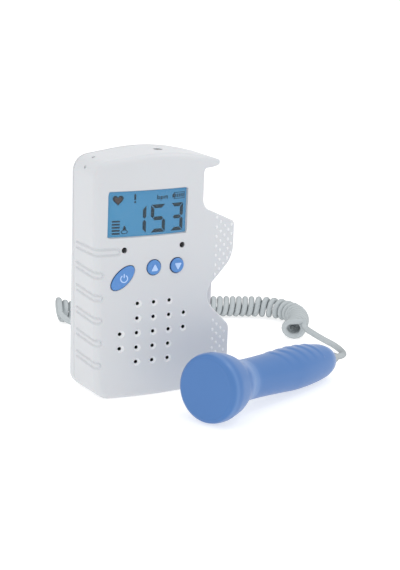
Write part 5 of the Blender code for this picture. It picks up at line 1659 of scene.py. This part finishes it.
def makeRearShell():
    seam = case["seam"] + case["gap"]
    shell = backCase("rearShell", backCorners, seam, 0.0, rimSteps=8, seamEdge=case["softEdge"])
    shell = carve(shell, channelCutter())
    shell = carve(shell, backCase("cavity", cavityCorners, case["seam"] - overrun, case["wall"], rimSteps=3))
    left, right, low, high, floor, wall = tray.values()
    walls = blockBody("walls", (left - wall, floor - wall, low - wall),
                      (right + wall, backY(high) - case["wall"] / 2, high + wall))
    shell = carve(shell, walls, "UNION")
    for x, z in screws["places"]:
        post = rodBody("post", screws["post"], 0, backY(z) - case["wall"] / 2 - seam, 40, alongY(x, seam, z))
        shell = carve(shell, post, "UNION")
    shell = carve(shell, blockBody("hold", (left, floor, low), (right, 25.0, high)))
    gap = case["gap"]
    half = door["half"] + gap
    recess = doorBlock("recess", (-half, -door["thick"] - gap, -gap), (half, overrun, door["height"] + gap))
    shell = carve(shell, recess)
    shell = carve(shell, rearHoles())
    settle(shell, "case", "unit", ["rear_cover"])


# Battery door with two tabs at its foot, a thumb dish and grip lines at its top
def makeDoor():
    half, high, thick = door["half"], door["height"], door["thick"]
    made = blockBody("batteryDoor", (-half, -thick, 0), (half, 0, high), 0.3)
    for middle in (-door["tabX"], door["tabX"]):
        left, right = middle - door["tabHalf"], middle + door["tabHalf"]
        foot = blockBody("foot", (left, -3.6, -1.6), (right, -2.3, 3.0), 0.2)
        root = blockBody("root", (left, -2.95, 0.3), (right, -1.0, 3.0))
        made = carve(made, carve(foot, root, "UNION"), "UNION")
    cutters = [turnedBody("dish", door["dish"], 64, alongY(0, 0, high - door["dishDown"]))]
    for k in range(4):
        z, tall = high - door["lineDown"] - door["linePitch"] * k, door["lineHalf"]
        cutters.append(blockBody("line", (-6.0, -0.45, z - tall), (6.0, 1.0, z + tall), 0.15, 2))
    made = carve(made, gather("gripCutters", cutters))
    made.data.transform(door["place"])
    settle(made, "case", "door", ["battery_door"])


def makeScrews():
    base, shank, head = screws["seat"] + case["gap"], screws["shank"], screws["head"]
    profile = [(0, base - 9.0), (shank * 0.6, base - 9.0), (shank, base - 7.75)]
    for k in range(10):
        at = base - 7.5 + 0.7 * k
        profile += [(shank, at), (shank - 0.2, at + 0.35)]
    profile += [(shank, base), (head, base), (head, base + 0.9), (head - 0.15, base + 1.25),
                (head * 0.72, base + 1.65), (head * 0.4, base + 1.78), (0, base + 1.8)]
    shape = turnedBody("screw", profile, 36)
    cross = [blockBody("cross", (-x, -y, base + 0.9), (x, y, base + 3))
             for x, y in ((1.25, 0.24), (0.24, 1.25))]
    shape = carve(shape, carve(*cross, "UNION"))
    spots = [(Vector((x, case["seam"], z)), Vector((0, 1, 0))) for x, z in screws["places"]]
    made = scattered("caseScrews", spots, shape, "steel")
    settle(made, "steel", "unit", [f"case_screw_{k}" for k in (1, 2, 3, 4)], 35)


makeRearShell()
makeDoor()
makeScrews()
print("back made")


# Finishes for the inner nodes of the frame, which show as they are
def dressNodes():
    looks = {
        "jacket": ("battery",),
        "black": ("battery_snap", "controller_chip", "amplifier_chip", "power_switch", "volume_up_switch",
                  "volume_down_switch", "screen_holder", "speaker_basket"),
        "board": ("main_board", "probe_board"),
        "diffuser": ("screen_backlight",),
        "glass": ("screen_glass",),
        "paper": ("speaker_cone",),
        "steel": ("speaker_magnet",),
        "ceramic": ("probe_crystal",),
        "resin": ("probe_backing",),
    }
    for look, names in looks.items():
        for name in names:
            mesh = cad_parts[name].data
            mesh.materials.clear()
            mesh.materials.append(finish[look])


dressNodes()
print("frame nodes dressed")


# Floor and light
studio = {
    "floorSize": 6.0,
    "floorColours": ((0.5, 0.5, 0.5), (0.505, 0.505, 0.505)),
    "floorGlow": 1.25,
    "worldStrength": 1.01,
    "aim": (0.03, 0.03, 0.06),
    # Name, place, size and power
    "softboxes": (
        ("sideSoftbox", (-1.6, -0.35, 0.9), 1.2, 0.8),
        ("topSoftbox", (-0.1, 0.2, 1.9), 1.5, 3.0),
        ("rimSoftbox", (0.67, -0.17, 1.03), 0.2, 1.4),
    ),
}


def makeStudio():
    bm = bmesh.new()
    bmesh.ops.create_grid(bm, x_segments=2, y_segments=2, size=studio["floorSize"])
    floor = objectOf("floor", bm)
    material, tree, shader = newFinish("paleFloor", 0.7, Emission_Strength=studio["floorGlow"])
    tint = blendColour(noiseOn(objectPoint(tree), 3.0, 2.0, 0.5), *studio["floorColours"])
    feed(shader, Base_Color=tint, Emission_Color=tint)
    floor.data.materials.append(material)
    world = bpy.data.worlds.new("softStudio")
    scene.world = world
    world.use_nodes = True
    feed(world.node_tree.nodes["Background"], Color=(1.0, 1.0, 1.0), Strength=studio["worldStrength"])
    for name, place, size, power in studio["softboxes"]:
        data = bpy.data.lights.new(name, "AREA")
        data.shape = "SQUARE"
        data.size = size
        data.energy = power
        light = bpy.data.objects.new(name, data)
        light.location = place
        light.rotation_euler = (Vector(studio["aim"]) - Vector(place)).to_track_quat("-Z", "Y").to_euler()
        scene.collection.objects.link(light)
    scene.view_settings.view_transform = "Standard"


makeStudio()
print("studio lit")
